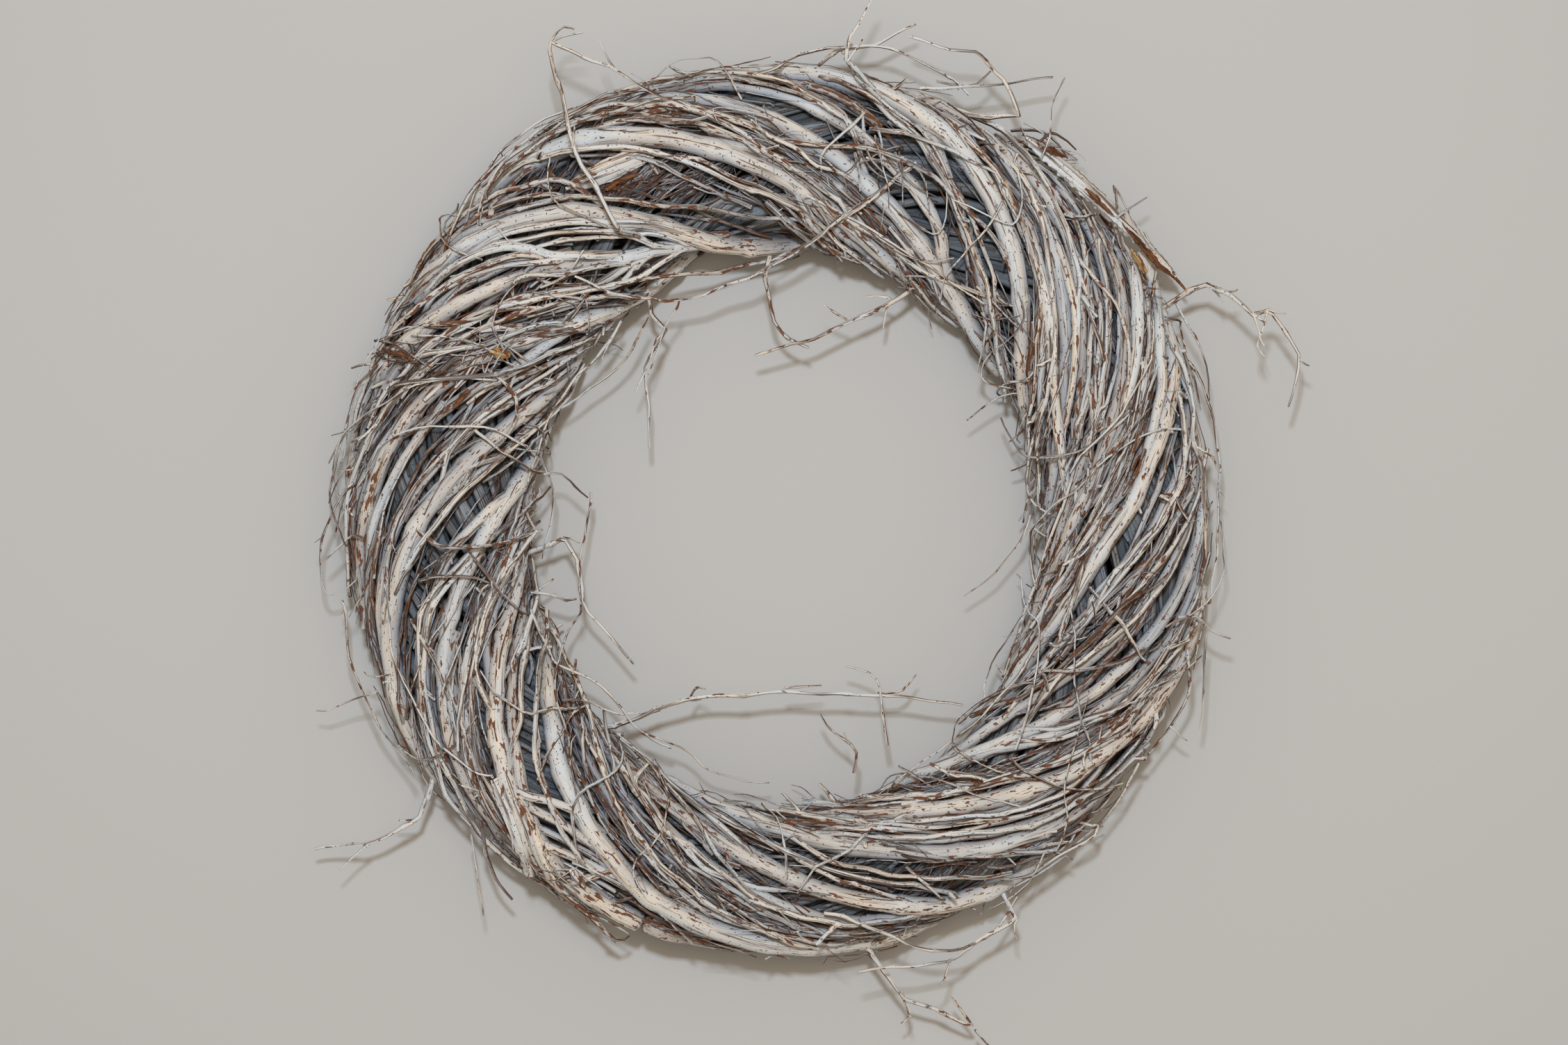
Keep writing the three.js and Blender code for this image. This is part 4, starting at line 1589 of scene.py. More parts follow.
@dataclass(frozen=True)
class Sprig:
    """A sprig that strays from the ring, with its thickness and points in millimetres."""

    lane: int
    strand: int
    leaves: float
    thick: float
    points: tuple[Place, ...]
    paint: float = 1.0
    taper: float = 0.45

    def routes(self, bough: Bough, dice: Dice) -> list[Route]:
        """Makes the sprig and the twiglets at its knots.

        Args:
            bough: the bough that it grows from.
            dice: its draws.

        Returns:
            Their routes.
        """
        root = bough.strand_point(bough.strands[self.strand], self.leaves)
        points = [root, *(WINDING.from_middle(*point) for point in self.points)]
        thick = self.thick * MM
        last = len(points) - 1

        def way(share: float) -> Vector:
            """Gives the point at a share, straight from knot to knot."""
            index, rest = divmod(min(last - 1e-9, share * last), 1)
            return points[int(index)].lerp(points[int(index) + 1], rest)

        def radius(share: float) -> float:
            """Gives the radius there."""
            return thick * mix(1, self.taper, share)

        made = [bark_route(way, radius, way_length(way, 8 * last), 5 * MM, dice, paint=self.paint)]
        for knot in points[1:-1]:
            for _ in range(dice.choice((0, 1, 1, 2))):
                made.append(self.twiglet(knot, points[-1] - points[0], dice))
        return made

    def twiglet(self, start: Vector, run: Vector, dice: Dice) -> Route:
        """Makes a short twiglet.

        Args:
            start: the knot that it grows at.
            run: which way the sprig goes.
            dice: its draws.

        Returns:
            Its route.
        """
        turned = Vector((dice.gauss(0, 1), dice.gauss(0, 1), dice.gauss(0, 0.4))).normalized()
        heading = (run.normalized() + turned * 0.9).normalized()
        length = dice.uniform(5, 16) * MM
        bent = heading + Vector((dice.gauss(0, 0.3), dice.gauss(0, 0.3), dice.gauss(0, 0.2)))
        points = [start, start + heading * length * 0.5, start + heading * length * 0.5 + bent * length * 0.5]
        thin = self.thick * MM * self.taper
        return tapered(points, thin, 0.6, 4 * MM, dice, self.paint, length=length)


@dataclass(frozen=True)
class FaceTwig:
    """A twig that lies over the face, with its thickness and places in millimetres."""

    lane: int
    thick: float
    paint: float
    lift: float
    points: tuple[Pair, ...]
    least_stem: float = 1.8
    tucked: float = 0.55
    side_twigs: Twiglets = Twiglets(0.25, (4 * MM, 14 * MM), (0.35 * MM, 0.6 * MM))

    def routes(self, dice: Dice) -> list[Route]:
        """Makes the twig and its side twigs.

        Args:
            dice: its draws.

        Returns:
            Their routes. The twig's ends are tucked in between the stems.
        """
        lifts = [self.lift] * len(self.points)
        lifts[0] = lifts[-1] = self.lift * self.tucked
        places = [WINDING.on_face(x, y, lift) for (x, y), lift in zip(self.points, lifts)]
        is_stem = self.thick >= self.least_stem
        main = tapered(places, self.thick * MM, 0.62, 5 * MM, dice, self.paint, is_stem)
        return [main, *self.side_twigs.routes(main, dice)]


@dataclass(frozen=True)
class Stray:
    """A thin loose twig at a rim, with its thickness and points in millimetres."""

    lane: int
    thick: float
    paint: float
    points: tuple[Place, ...]
    side_twigs: Twiglets = Twiglets(0.2, (3 * MM, 9 * MM), (0.3 * MM, 0.5 * MM))

    def routes(self, dice: Dice) -> list[Route]:
        """Makes the twig and a few side twigs.

        Args:
            dice: its draws.

        Returns:
            Their routes.
        """
        places = [WINDING.from_middle(*point) for point in self.points]
        main = tapered(places, self.thick * MM, 0.6, 5 * MM, dice, self.paint)
        return [main, *self.side_twigs.routes(main, dice)]


@dataclass(frozen=True)
class Fray:
    """A torn patch of stringy bark fibres, or a tangle of short twigs, in millimetres."""

    lane: int
    x: float
    y: float
    spread: Pair
    heading: float
    fibres: int
    brown: float
    scatter: float = 11
    thick: Pair = (0.25, 0.85)
    lengths: Pair = (8, 30)
    rests: Pair = (0.3, 3)

    def fibre(self, dice: Dice) -> Route:
        """Makes a fibre, brown in the middle of the patch and grey round it.

        Args:
            dice: its draws.

        Returns:
            Its route.
        """
        off = (dice.gauss(0, 0.5), dice.gauss(0, 0.5))
        x = self.x + off[0] * self.spread[0]
        y = self.y + off[1] * self.spread[1]
        heading = math.radians(self.heading + dice.gauss(0, self.scatter))
        length = dice.uniform(*self.lengths)
        low = dice.uniform(*self.rests)
        tip = low + dice.uniform(-1.5, 4) * dice.random()
        bow = dice.gauss(0, 0.1) * length
        points = []
        for t in (-0.5, -0.15, 0.2, 0.5):
            bent = bow * (1 - 4 * t * t)
            points.append(WINDING.on_face(
                x + length * t * math.cos(heading) - bent * math.sin(heading),
                y + length * t * math.sin(heading) + bent * math.cos(heading),
                mix(low, tip, t + 0.5),
            ))
        thin = mix(*self.thick, dice.random() ** 2) * MM
        middle = math.exp(-2 * (off[0] ** 2 + off[1] ** 2))
        paint = dice.uniform(0.3, 1) - self.brown * middle
        return tapered(points, thin, 0.5, 4 * MM, dice, paint, length=length * MM)

    def routes(self, dice: Dice) -> list[Route]:
        """Makes the patch's fibres."""
        return [self.fibre(dice) for _ in range(self.fibres)]


@dataclass(frozen=True)
class Peel:
    """A loose strip of bark or a shaving, which may be curled over its length.

    Its points are millimetres from the ring's middle and over the core, and its widths are
    millimetres at even distances along it.
    """

    surface: str
    name: str
    points: tuple[Place, ...]
    widths: tuple[float, ...]
    paint: float = 1.0
    thick: float = 0.7
    curl: float = 0.5
    roll: float = 0.0
    ragged: float = 0.15
    across: int = 5
    spacing: float = 1.5 * MM

    def frame(self, way: Way, share: float) -> tuple[Vector, Vector, Vector]:
        """Gives how the strip lies at a place along it.

        Args:
            way: the strip's middle.
            share: how far along it.

        Returns:
            The place, the way across the strip and the way out of it.
        """
        place = way(share)
        run = (way(min(1.0, share + 0.01)) - way(max(0.0, share - 0.01))).normalized()
        side = run.cross(WINDING.outward_at(place) + Vector((0, 0, 1))).normalized()
        out = side.cross(run)
        turned = side * math.cos(self.roll) + out * math.sin(self.roll)
        return place, turned, turned.cross(run)

    def mesh(self) -> bpy.types.Mesh:
        """Makes the strip's mesh.

        Returns:
            The mesh, with what the finish reads as attributes.
        """
        way = curve_through([WINDING.on_face(*point) for point in self.points])
        length = way_length(way)
        steps = max(6, round(length / self.spacing))
        dice = random.Random(self.name)
        corners = []
        grain = []
        for i in range(steps + 1):
            share = i / steps
            place, side, out = self.frame(way, share)
            at = share * (len(self.widths) - 1)
            index = min(len(self.widths) - 2, int(at))
            half = mix(self.widths[index], self.widths[index + 1], at - index) / 2 * MM
            edges = [half * (1 + self.ragged * dice.gauss(0, 1)) for _ in range(2)]
            for layer in (0.5, -0.5):
                spots = range(self.across) if layer > 0 else reversed(range(self.across))
                for spot in spots:
                    t = 2 * spot / (self.across - 1) - 1
                    reach = edges[0 if t < 0 else 1] * t
                    sag = half * self.curl * t * t - self.thick * MM * layer
                    corners.append(place + side * reach - out * sag)
                    grain += (share * length, reach, layer * MM)
        around = 2 * self.across
        loops = [[around * i + j for j in range(around)] for i in range(steps + 1)]
        faces = [
            (a[j], a[(j + 1) % around], b[(j + 1) % around], b[j])
            for a, b in zip(loops, loops[1:])
            for j in range(around)
        ]
        faces += [loops[0][::-1], loops[-1]]
        mesh = bpy.data.meshes.new(self.name)
        mesh.from_pydata(corners, [], faces)
        store(mesh, "grain", grain, "FLOAT_VECTOR")
        looks = {"paint": self.paint, "tone": dice.random(), "cover": -2 * MM, "facing": 1.0}
        for name, value in looks.items():
            store(mesh, name, [value] * len(corners))
        return mesh

    def make(self, surfaces: dict[str, bpy.types.Material]) -> None:
        """Makes the strip as a piece of its own.

        Args:
            surfaces: the material of each kind of surface.
        """
        piece = put_in_scene(self.name, self.mesh())
        piece.data.materials.append(surfaces[self.surface])
        keep(piece, "whitewashed_bark")


PEELS = (
    Peel(
        "paint", "bark_flap",
        ((110, 166, 13), (120, 158, 14), (130, 150, 14.5), (140, 141, 15), (150, 132, 15.5), (160, 123, 16.5),
         (170, 114, 18), (178, 105, 19)),
        (3, 7, 8.5, 8.5, 9, 8, 7, 5, 1.5), curl=0.35, roll=-0.1,
    ),
    Peel(
        "bark", "bark_flap_underside",
        ((152, 128, 14.5), (160, 118, 15), (168, 109, 16), (176, 105, 17), (182, 99, 17)),
        (1, 4, 6, 5, 3.5, 0.8), curl=-0.4, roll=0.5, ragged=0.35,
    ),
    Peel(
        "bark", "bark_flap_slot", ((136, 143, 15.2), (142, 137, 15.6), (148, 131, 15.8)), (0.6, 2.4, 2, 0.5),
        ragged=0.3,
    ),
    Peel("heartwood", "ochre_shaving", ((156, 116, 13), (160, 110, 14.5), (163, 105, 14)), (0.8, 3, 3.6, 1)),
    Peel(
        "paint", "pale_shaving", ((-94, 142, 4), (-82, 147, 6.5), (-70, 152, 7.5), (-54, 158, 6.5)),
        (1.5, 8, 10.5, 9, 2.5), curl=0.35, roll=-0.3, ragged=0.04,
    ),
    Peel(
        "paint", "split_stem_edge",
        ((-125, -118, 9), (-118, -134, 10.5), (-113, -148, 11.5), (-109, -162, 10.5)), (4, 6, 7, 7),
        roll=0.35, ragged=0.08, paint=1.2, thick=2,
    ),
    Peel(
        "paint", "split_stem_middle",
        ((-116, -126, 9.5), (-110, -140, 11.5), (-106, -152, 12), (-101, -163, 11)), (3, 6, 6.5, 6),
        roll=-0.35, ragged=0.08, paint=1.2, thick=2,
    ),
    Peel("heartwood", "ochre_flake", ((-127, 70, 12), (-123, 69, 13), (-118, 68, 12)), (1, 4.5, 2)),
    Peel(
        "bark", "brown_flake_1", ((-170, 70, 11), (-166, 69, 12), (-161, 66, 11)), (0.8, 2.8, 2.4, 0.8),
        ragged=0.45,
    ),
    Peel(
        "bark", "brown_flake_2", ((-143, 45, 10), (-140, 48, 11), (-136, 53, 10)), (1.4, 3.4, 1.6),
        ragged=0.4,
    ),
    Peel("bark", "brown_flake_3", ((-76, 141, 7), (-70, 145, 8), (-62, 148, 7)), (1, 4, 3, 1), ragged=0.35),
    Peel("bark", "brown_flake_4", ((116, 161, 15), (122, 160, 17), (128, 158, 16)), (1, 3.5, 1), ragged=0.35),
    Peel("paint", "bark_lump", ((-92, -158, 12), (-89, -162, 13), (-86, -166, 11)), (2, 6, 2), curl=0.8),
)
BOUGH_ROWS = (
    ((0,), 5.0, Rim.OUTER, 0.05, [(0.1, 0.3, 0.5), (0.4, -0.3, 0.5)]),
    ((1,), 4.7, Rim.INNER, -0.06, [(0.25, -0.34, 0.6), (0.5, 0.3, 0.45)]),
    ((2, 3), 5.0, Rim.INNER, 0.04, [
        (0.2, -1.05, 0.74), (0.42, 0.34, 0.55, 1), (0.5, 0.3, 0.5), (0.34, -0.42, 0.5, 1),
    ], (0.2, 0.46)),
    ((4,), 5.3, Rim.OUTER, -0.05, [(0.3, 0.28, 0.5), (0.5, -0.3, 0.45)]),
    ((5,), 4.6, Rim.INNER, 0.06, [(0.15, 0.34, 0.65), (0.45, -0.25, 0.5)]),
    ((6,), 5.3, Rim.OUTER, 0.05, [(0.2, -0.38, 0.5)]),
    ((7,), 4.3, Rim.OUTER, -0.04, [(0.2, 0.3, 0.7)]),
    ((8,), 4.2, Rim.INNER, 0.06, [(0.2, -0.3, 0.7), (0.4, 0.3, 0.5)]),
    ((9,), 4.7, Rim.OUTER, 0.05, [(0.1, 0.32, 0.6)]),
    ((10,), 3.9, Rim.INNER, -0.06, [(0.15, -0.32, 0.7), (0.3, 0.32, 0.7)]),
    ((11,), 5.0, Rim.OUTER, 0.04, [(0.3, 0.3, 0.5), (0.5, -0.3, 0.5)]),
    ((12,), 4.4, Rim.INNER, 0.05, [(0.2, -0.32, 0.6), (0.45, 0.3, 0.5)]),
    ((13,), 4.6, Rim.OUTER, -0.05, [(0.15, 0.3, 0.6), (0.4, -0.3, 0.5)]),
    ((14,), 5.5, Rim.OUTER, 0.03, [(0.25, -0.35, 0.4)]),
    ((15,), 4.9, Rim.OUTER, 0.04, [(0.1, -0.28, 0.6), (0.4, 0.3, 0.5)]),
    ((16,), 4.4, Rim.INNER, 0.06, [(0.2, 0.32, 0.6), (0.45, -0.3, 0.5)]),
)
SPRIGS = tuple(Sprig(*row) for row in (
    (9, 0, 0.17, 1.3, ((190, 100, 44), (199, 97, 50), (209, 87, 54), (216, 89, 52), (231, 67, 46),
     (227, 46, 42))),
    (2, 1, 0.34, 1.3, ((-70, 122, 74), (-90, 157, 78), (-100, 204, 70), (-72, 193, 72), (-50, 178, 73))),
    (6, 0, 0.2, 1.2, ((30, 197, 62), (32, 208, 64), (42, 227, 62))),
    (6, 0, 0.11, 1.1, ((28, 204, 40), (44, 206, 42), (63, 215, 46))),
    (7, 0, 0.18, 1.2, ((108, 176, 50), (100, 190, 54), (86, 200, 56), (58, 208, 54))),
    (0, 0, 0.08, 1.3, ((-160, -137, 34), (-183, -149, 36), (-212, -153, 30))),
    (14, 0, 0.12, 1.3, ((49, -207, 36), (56, -219, 34), (88, -233, 28), (78, -218, 34))),
    (13, 0, 0.1, 1.2, ((106, -182, 40), (76, -200, 46), (34, -203, 56))),
    (13, 0, 0.84, 1.3, ((-64, -93, 36), (-40, -84, 40), (2, -79, 42), (44, -81, 40), (82, -88, 38))),
    (4, 0, 0.84, 1.3, ((50, 94, 36), (30, 85, 40), (11, 76, 42), (-12, 69, 40))),
    (1, 0, 0.1, 1.2, ((-56, 88, 36), (-50, 80, 40), (-59, 63, 42), (-59, 29, 40))),
    (15, 0, 0.86, 1.2, ((-96, -12, 38), (-90, -22, 42), (-88, -42, 42), (-66, -69, 38))),
))
STRAYS = tuple(Stray(*row) for row in (
    (3, 1.0, 0.9, ((60, 153, 60), (42, 139, 62), (25, 125, 60), (5, 113, 57), (-20, 101, 54),
     (-40, 94, 52), (-60, 95, 55), (-78, 99, 60), (-92, 104, 62))),
    (3, 1.1, 0.7, ((-4, 112, 57), (-5, 104, 52), (-4, 97, 46), (-2, 86, 42), (5, 78, 40), (13, 74, 41))),
    (1, 0.5, 0.8, ((-44, 93, 50), (-50, 84, 46), (-54, 72, 44), (-56, 60, 42))),
    (1, 0.8, 0.9, ((-70, 84, 46), (-80, 72, 42), (-90, 60, 40), (-100, 46, 42), (-106, 30, 44),
     (-112, 12, 46))),
    (1, 0.6, 0.9, ((-58, 86, 46), (-68, 68, 40), (-82, 54, 38), (-96, 45, 40), (-106, 37, 44),
     (-116, 33, 50))),
    (0, 0.6, 0.7, ((-104, 16, 50), (-96, 15, 48), (-88, 6, 44))),
    (0, 0.6, 0.6, ((-106, 24, 46), (-100, 8, 42), (-104, -8, 42), (-108, -20, 46))),
    (15, 0.6, 0.8, ((-84, 8, 36), (-88, -15, 40), (-90, -38, 42))),
    (15, 0.8, 0.8, ((-110, -36, 46), (-100, -37, 44), (-90, -40, 42))),
    (15, 0.8, 0.8, ((-110, -44, 46), (-102, -60, 44), (-97, -69, 42), (-80, -77, 44), (-70, -88, 44),
     (-58, -102, 42), (-48, -107, 40))),
    (14, 0.5, 0.8, ((-62, -98, 42), (-42, -107, 38), (-26, -117, 36), (-4, -122, 34))),
    (14, 0.5, 0.7, ((-96, -84, 48), (-84, -85, 44), (-66, -90, 42), (-52, -87, 40))),
    (13, 0.7, 0.9, ((48, -104, 46), (46, -88, 44), (42, -76, 42), (28, -69, 38))),
    (13, 0.7, 0.6, ((33, -116, 48), (34, -106, 44), (22, -97, 40), (18, -91, 38))),
    (9, 0.5, 0.8, ((112, -2, 40), (106, -14, 38), (95, -28, 36), (83, -38, 34))),
    (11, 0.5, 0.8, ((112, -44, 42), (104, -56, 40), (96, -70, 38), (90, -84, 40))),
    (7, 0.6, 0.8, ((122, 72, 48), (102, 74, 42), (92, 68, 38), (92, 60, 38), (104, 57, 40), (118, 58, 46))),
    (7, 0.6, 0.8, ((120, 52, 46), (104, 53, 42), (94, 50, 38), (84, 43, 34))),
    (4, 0.8, 0.8, ((68, 104, 46), (74, 92, 42), (84, 80, 40), (96, 68, 40), (112, 57, 44))),
    (6, 0.8, 0.8, ((62, 186, 56), (78, 187, 52), (100, 188, 48), (121, 191, 44))),
    (6, 0.5, 0.7, ((116, 156, 48), (118, 168, 46), (120, 180, 44), (126, 192, 42))),
    (6, 0.7, 0.6, ((70, 190, 50), (84, 190, 48), (94, 197, 46))),
    (7, 0.6, 0.6, ((150, 130, 44), (154, 135, 44), (163, 140, 42))),
    (7, 0.6, 0.6, ((150, 134, 44), (148, 143, 42), (156, 131, 42), (167, 114, 42))),
    (10, 0.9, 0.7, ((176, -47, 56), (184, -47, 54), (192, -52, 50), (201, -58, 46))),
    (10, 0.6, 0.7, ((189, -56, 48), (189, -76, 44), (187, -98, 40))),
    (11, 0.8, 0.8, ((181, -62, 46), (181, -84, 42), (173, -98, 40), (164, -108, 42))),
    (11, 0.5, 0.8, ((174, -96, 40), (179, -99, 38), (184, -103, 36))),
    (12, 0.9, 0.8, ((140, -140, 44), (138, -146, 42), (118, -156, 44), (98, -165, 48))),
    (13, 0.9, 1.0, ((20, -177, 60), (42, -186, 56), (60, -193, 50), (76, -195, 46), (92, -189, 42),
     (100, -182, 38), (105, -174, 36))),
    (14, 1.7, 0.7, ((-106, -160, 48), (-96, -172, 46), (-84, -183, 42), (-74, -193, 36))),
    (14, 0.7, 0.4, ((-78, -189, 40), (-71, -191, 38), (-67, -188, 36))),
    (15, 1.0, 0.5, ((-132, -138, 44), (-130, -152, 40), (-126, -166, 38), (-120, -175, 36))),
    (15, 0.5, 0.8, ((-137, -144, 42), (-136, -160, 40), (-133, -178, 38))),
    (16, 0.6, 0.5, ((-188, 12, 46), (-196, 6, 42), (-203, -14, 38), (-204, -30, 38), (-199, -37, 40),
     (-186, -32, 46))),
    (16, 0.7, 0.4, ((-184, -12, 52), (-192, -12, 48), (-200, -22, 44))),
    (15, 0.5, 0.7, ((-178, -80, 46), (-190, -84, 42), (-206, -92, 36))),
    (3, 0.8, 0.7, ((-140, 118, 44), (-139, 134, 42), (-130, 152, 42), (-114, 167, 44), (-94, 178, 46),
     (-72, 185, 50))),
    (3, 0.9, 0.8, ((-134, 122, 48), (-131, 140, 46), (-116, 158, 46), (-96, 170, 48), (-72, 175, 54),
     (-48, 172, 62))),
    (3, 0.7, 0.7, ((-120, 152, 46), (-102, 168, 42), (-80, 181, 42), (-54, 191, 44), (-26, 197, 44),
     (2, 198, 46))),
    (3, 1.1, 0.8, ((-152, 102, 44), (-147, 122, 44), (-134, 146, 44), (-115, 164, 44), (-90, 178, 46),
     (-62, 186, 48))),
    (2, 1.0, 0.7, ((-130, 138, 48), (-112, 157, 48), (-89, 172, 50), (-62, 180, 54), (-36, 181, 60))),
    (4, 0.8, 0.8, ((-8, 194, 48), (8, 203, 44), (28, 206, 44), (50, 204, 46), (70, 196, 48), (84, 184, 52))),
    (1, 0.7, 0.6, ((-160, 74, 50), (-176, 66, 44), (-188, 48, 42), (-196, 22, 42), (-198, 0, 44),
     (-190, -16, 50))),
    (2, 0.6, 0.3, ((-146, 122, 46), (-150, 126, 42), (-147, 131, 40), (-142, 136, 42))),
    (1, 0.6, 0.6, ((-164, 92, 46), (-172, 88, 42), (-174, 84, 40), (-171, 94, 40))),
    (10, 0.7, 0.7, ((182, 66, 46), (192, 44, 42), (197, 16, 42), (196, -16, 44), (190, -44, 48))),
    (8, 0.6, 0.5, ((176, 92, 46), (182, 78, 44), (189, 64, 44), (192, 48, 46))),
    (12, 0.7, 0.6, ((160, -112, 44), (146, -134, 40), (126, -152, 40), (104, -166, 44))),
    (15, 0.7, 0.6, ((-194, -40, 44), (-192, -66, 42), (-180, -94, 42), (-160, -118, 46))),
    (14, 0.7, 0.7, ((-130, -136, 46), (-112, -156, 42), (-92, -174, 42), (-66, -188, 46))),
))
FACE_TWIGS = tuple(FaceTwig(*row) for row in (
    (3, 1.3, 0.8, 9, ((-108, 158), (-82, 161), (-56, 158), (-30, 150), (-2, 140), (20, 128))),
    (2, 1.5, 0.6, 10, ((-132, 126), (-112, 135), (-80, 138), (-42, 134), (-12, 130), (14, 129))),
    (2, 2.2, 0.95, 8.5, ((-32, 120), (-52, 125), (-80, 127.5), (-102, 126), (-122, 121), (-140, 110))),
    (2, 2.4, 1.1, 8.5, ((-70, 113), (-86, 112), (-99, 112), (-109, 115), (-121, 116), (-136, 111),
     (-149, 103), (-161, 92))),
    (2, 1.7, 1.0, 8, ((-92, 112), (-104, 110), (-118, 108), (-134, 104), (-149, 96), (-158, 87))),
    (1, 4.5, 1.25, 5, ((-178, 58), (-168, 71), (-155, 82), (-140, 91), (-124, 99), (-108, 105))),
    (1, 1.3, 0.85, 9, ((-58, 109), (-78, 107), (-98, 103), (-113, 103), (-118, 99), (-112, 88))),
    (1, 1.2, 0.8, 10, ((24, 119), (0, 114), (-22, 111), (-48, 107), (-72, 101))),
    (1, 0.8, 0.7, 13, ((-127, 83), (-123, 75), (-119, 65))),
    (1, 1.2, 0.8, 11, ((-172, 80), (-150, 79), (-135, 82), (-120, 88), (-95, 93))),
    (0, 1.6, 0.8, 11, ((-168, 66), (-150, 70), (-130, 74), (-105, 82), (-80, 84))),
    (0, 1.2, 0.7, 12, ((-188, 42), (-168, 54), (-145, 58), (-120, 62), (-95, 72), (-75, 82))),
    (0, 0.9, 0.8, 13, ((-137, 38), (-126, 28), (-112, 20), (-103, 16))),
    (0, 0.9, 0.7, 12, ((-128, 62), (-119, 52), (-116, 40), (-119, 30))),
    (16, 1.1, 0.35, 13, ((-161, -7), (-150, -14), (-135, -16), (-120, -12), (-106, -5))),
    (15, 0.8, 0.8, 12, ((-159, -31), (-150, -28), (-138, -28), (-127, -31))),
    (15, 0.9, 0.7, 12, ((-137, -18), (-128, -30), (-118, -41), (-110, -47))),
    (15, 0.9, 0.7, 12, ((-162, -48), (-155, -60), (-148, -75), (-144, -88))),
    (14, 2.4, 1.1, 7, ((-122, -121), (-111, -125), (-100, -128), (-88, -133), (-76, -142))),
    (14, 2.4, 1.1, 6.5, ((-118, -127), (-107, -132), (-94, -139), (-82, -147), (-69, -155))),
    (14, 1.9, 0.9, 5, ((-116, -134), (-105, -140), (-92, -147), (-79, -154), (-68, -162))),
    (14, 2.5, 1.1, 6.5, ((-114, -143), (-103, -147), (-91, -152), (-77, -159), (-66, -166))),
    (14, 1.8, 0.9, 5, ((-112, -150), (-100, -155), (-88, -160), (-72, -168))),
    (14, 1.5, 0.8, 4, ((-124, -98), (-108, -107), (-94, -116), (-84, -124))),
    (15, 2.2, 1.1, 5, ((-143, -76), (-139, -88), (-136, -100), (-137, -112))),
    (9, 3.2, 1.2, 8, ((154, 116), (158, 100), (158, 78), (154, 56), (148, 34))),
    (7, 3.3, 1.1, 6.5, ((108, 128), (115, 104), (119, 80), (122, 50), (126, 20), (128, -2))),
    (7, 2.3, 1.1, 8, ((120, 124), (127, 105), (131, 86), (129, 56), (123, 20))),
    (8, 3.1, 1.2, 7.5, ((163, 116), (168, 98), (168, 80), (169, 56), (165, 37), (157, 8))),
    (14, 2.3, 0.9, 9, ((-100, -166), (-88, -163), (-70, -158))),
    (14, 1.4, 0.7, 6, ((-104, -168), (-92, -176), (-76, -176), (-64, -172))),
    (12, 1.2, 0.8, 11, ((-2, -147), (20, -160), (45, -170), (66, -176))),
    (12, 0.8, 0.8, 13, ((42, -139), (28, -152), (18, -161), (8, -169))),
    (12, 0.9, 0.9, 11, ((56, -157), (64, -164), (74, -170))),
    (10, 1.0, 0.8, 13, ((137, -34), (150, -48), (157, -58), (162, -68))),
    (11, 1.0, 0.7, 12, ((112, -71), (130, -69), (146, -66), (160, -60))),
    (11, 1.3, 0.3, 11, ((86, -92), (106, -82), (120, -72), (136, -57), (150, -44), (172, -26))),
    (11, 1.1, 0.5, 11, ((80, -95), (93, -84), (112, -74), (130, -62))),
    (12, 1.4, 0.6, 10, ((60, -128), (92, -120), (118, -112), (140, -100), (166, -78))),
    (9, 1.2, 0.8, 12, ((176, 8), (166, -12), (150, -32), (138, -46))),
    (9, 1.1, 0.95, 14, ((173, 78), (183, 56), (187, 24), (188, -12), (188, -46))),
    (3, 1.5, 0.6, 10, ((-12, 165), (18, 160), (42, 158), (62, 149), (82, 134), (97, 116), (106, 98))),
    (4, 1.4, 0.8, 8, ((0, 139), (22, 131), (42, 122), (56, 112), (72, 103), (88, 97), (108, 88))),
    (4, 1.1, 0.8, 12, ((40, 168), (62, 163), (80, 155), (96, 147), (106, 138))),
    (3, 0.9, 0.8, 13, ((58, 153), (46, 143), (36, 134), (26, 126))),
    (3, 0.8, 0.8, 13, ((38, 176), (30, 167), (20, 157), (20, 148))),
    (4, 1.0, 0.8, 12, ((30, 205), (32, 193), (40, 183), (56, 172), (68, 160), (74, 146))),
    (6, 0.8, 0.8, 12, ((126, 131), (135, 130), (142, 131))),
    (6, 1.0, 0.8, 12, ((130, 116), (142, 100), (150, 84), (154, 68), (156, 50))),
    (6, 1.0, 0.6, 12, ((172, 76), (164, 52), (158, 34), (150, 14))),
    (13, 1.2, 0.5, 11, ((-56, -112), (-44, -128), (-28, -150), (-12, -168), (6, -178))),
    (13, 1.0, 0.6, 12, ((-72, -104), (-62, -122), (-50, -142), (-36, -162), (-20, -180))),
    (14, 1.0, 0.8, 11, ((-148, -66), (-140, -92), (-136, -118), (-134, -136))),
))
FRAYS = tuple(Fray(*row) for row in (
    (3, -64, 146, (15, 8), 40, 90, 1.1),
    (3, -40, 145, (26, 10), 34, 90, 0.4),
    (2, -104, 144, (14, 8), 48, 50, 0.4),
    (1, -108, 97, (20, 9), 60, 70, 0.3),
    (12, 96, -128, (40, 9), 55, 60, 0.3),
    (12, 60, -163, (40, 8), 40, 50, 0.3),
    (0, -166, 68, (10, 6), 10, 40, 1.2, 25, (0.25, 0.8), (6, 20), (5, 12)),
    (6, 119, 161, (7, 5), -20, 24, 1.0),
    (14, -120, -80, (8, 6), 80, 24, 0.8),
    (0, -132, 66, (26, 8), 15, 20, 0.2, 40, (0.4, 0.8), (12, 34), (8, 12)),
    (1, -92, 97, (16, 8), 15, 16, 0.2, 40, (0.4, 0.8), (12, 32), (7, 11)),
    (4, 46, 148, (18, 12), -40, 14, 0.2, 40, (0.4, 0.8), (12, 34), (8, 12)),
    (6, 98, 84, (8, 14), -65, 12, 0.2, 35, (0.4, 0.7), (14, 30), (6, 10)),
    (14, -92, -160, (12, 6), 10, 10, 0.3, 40, (0.4, 0.8), (8, 20), (8, 12)),
))


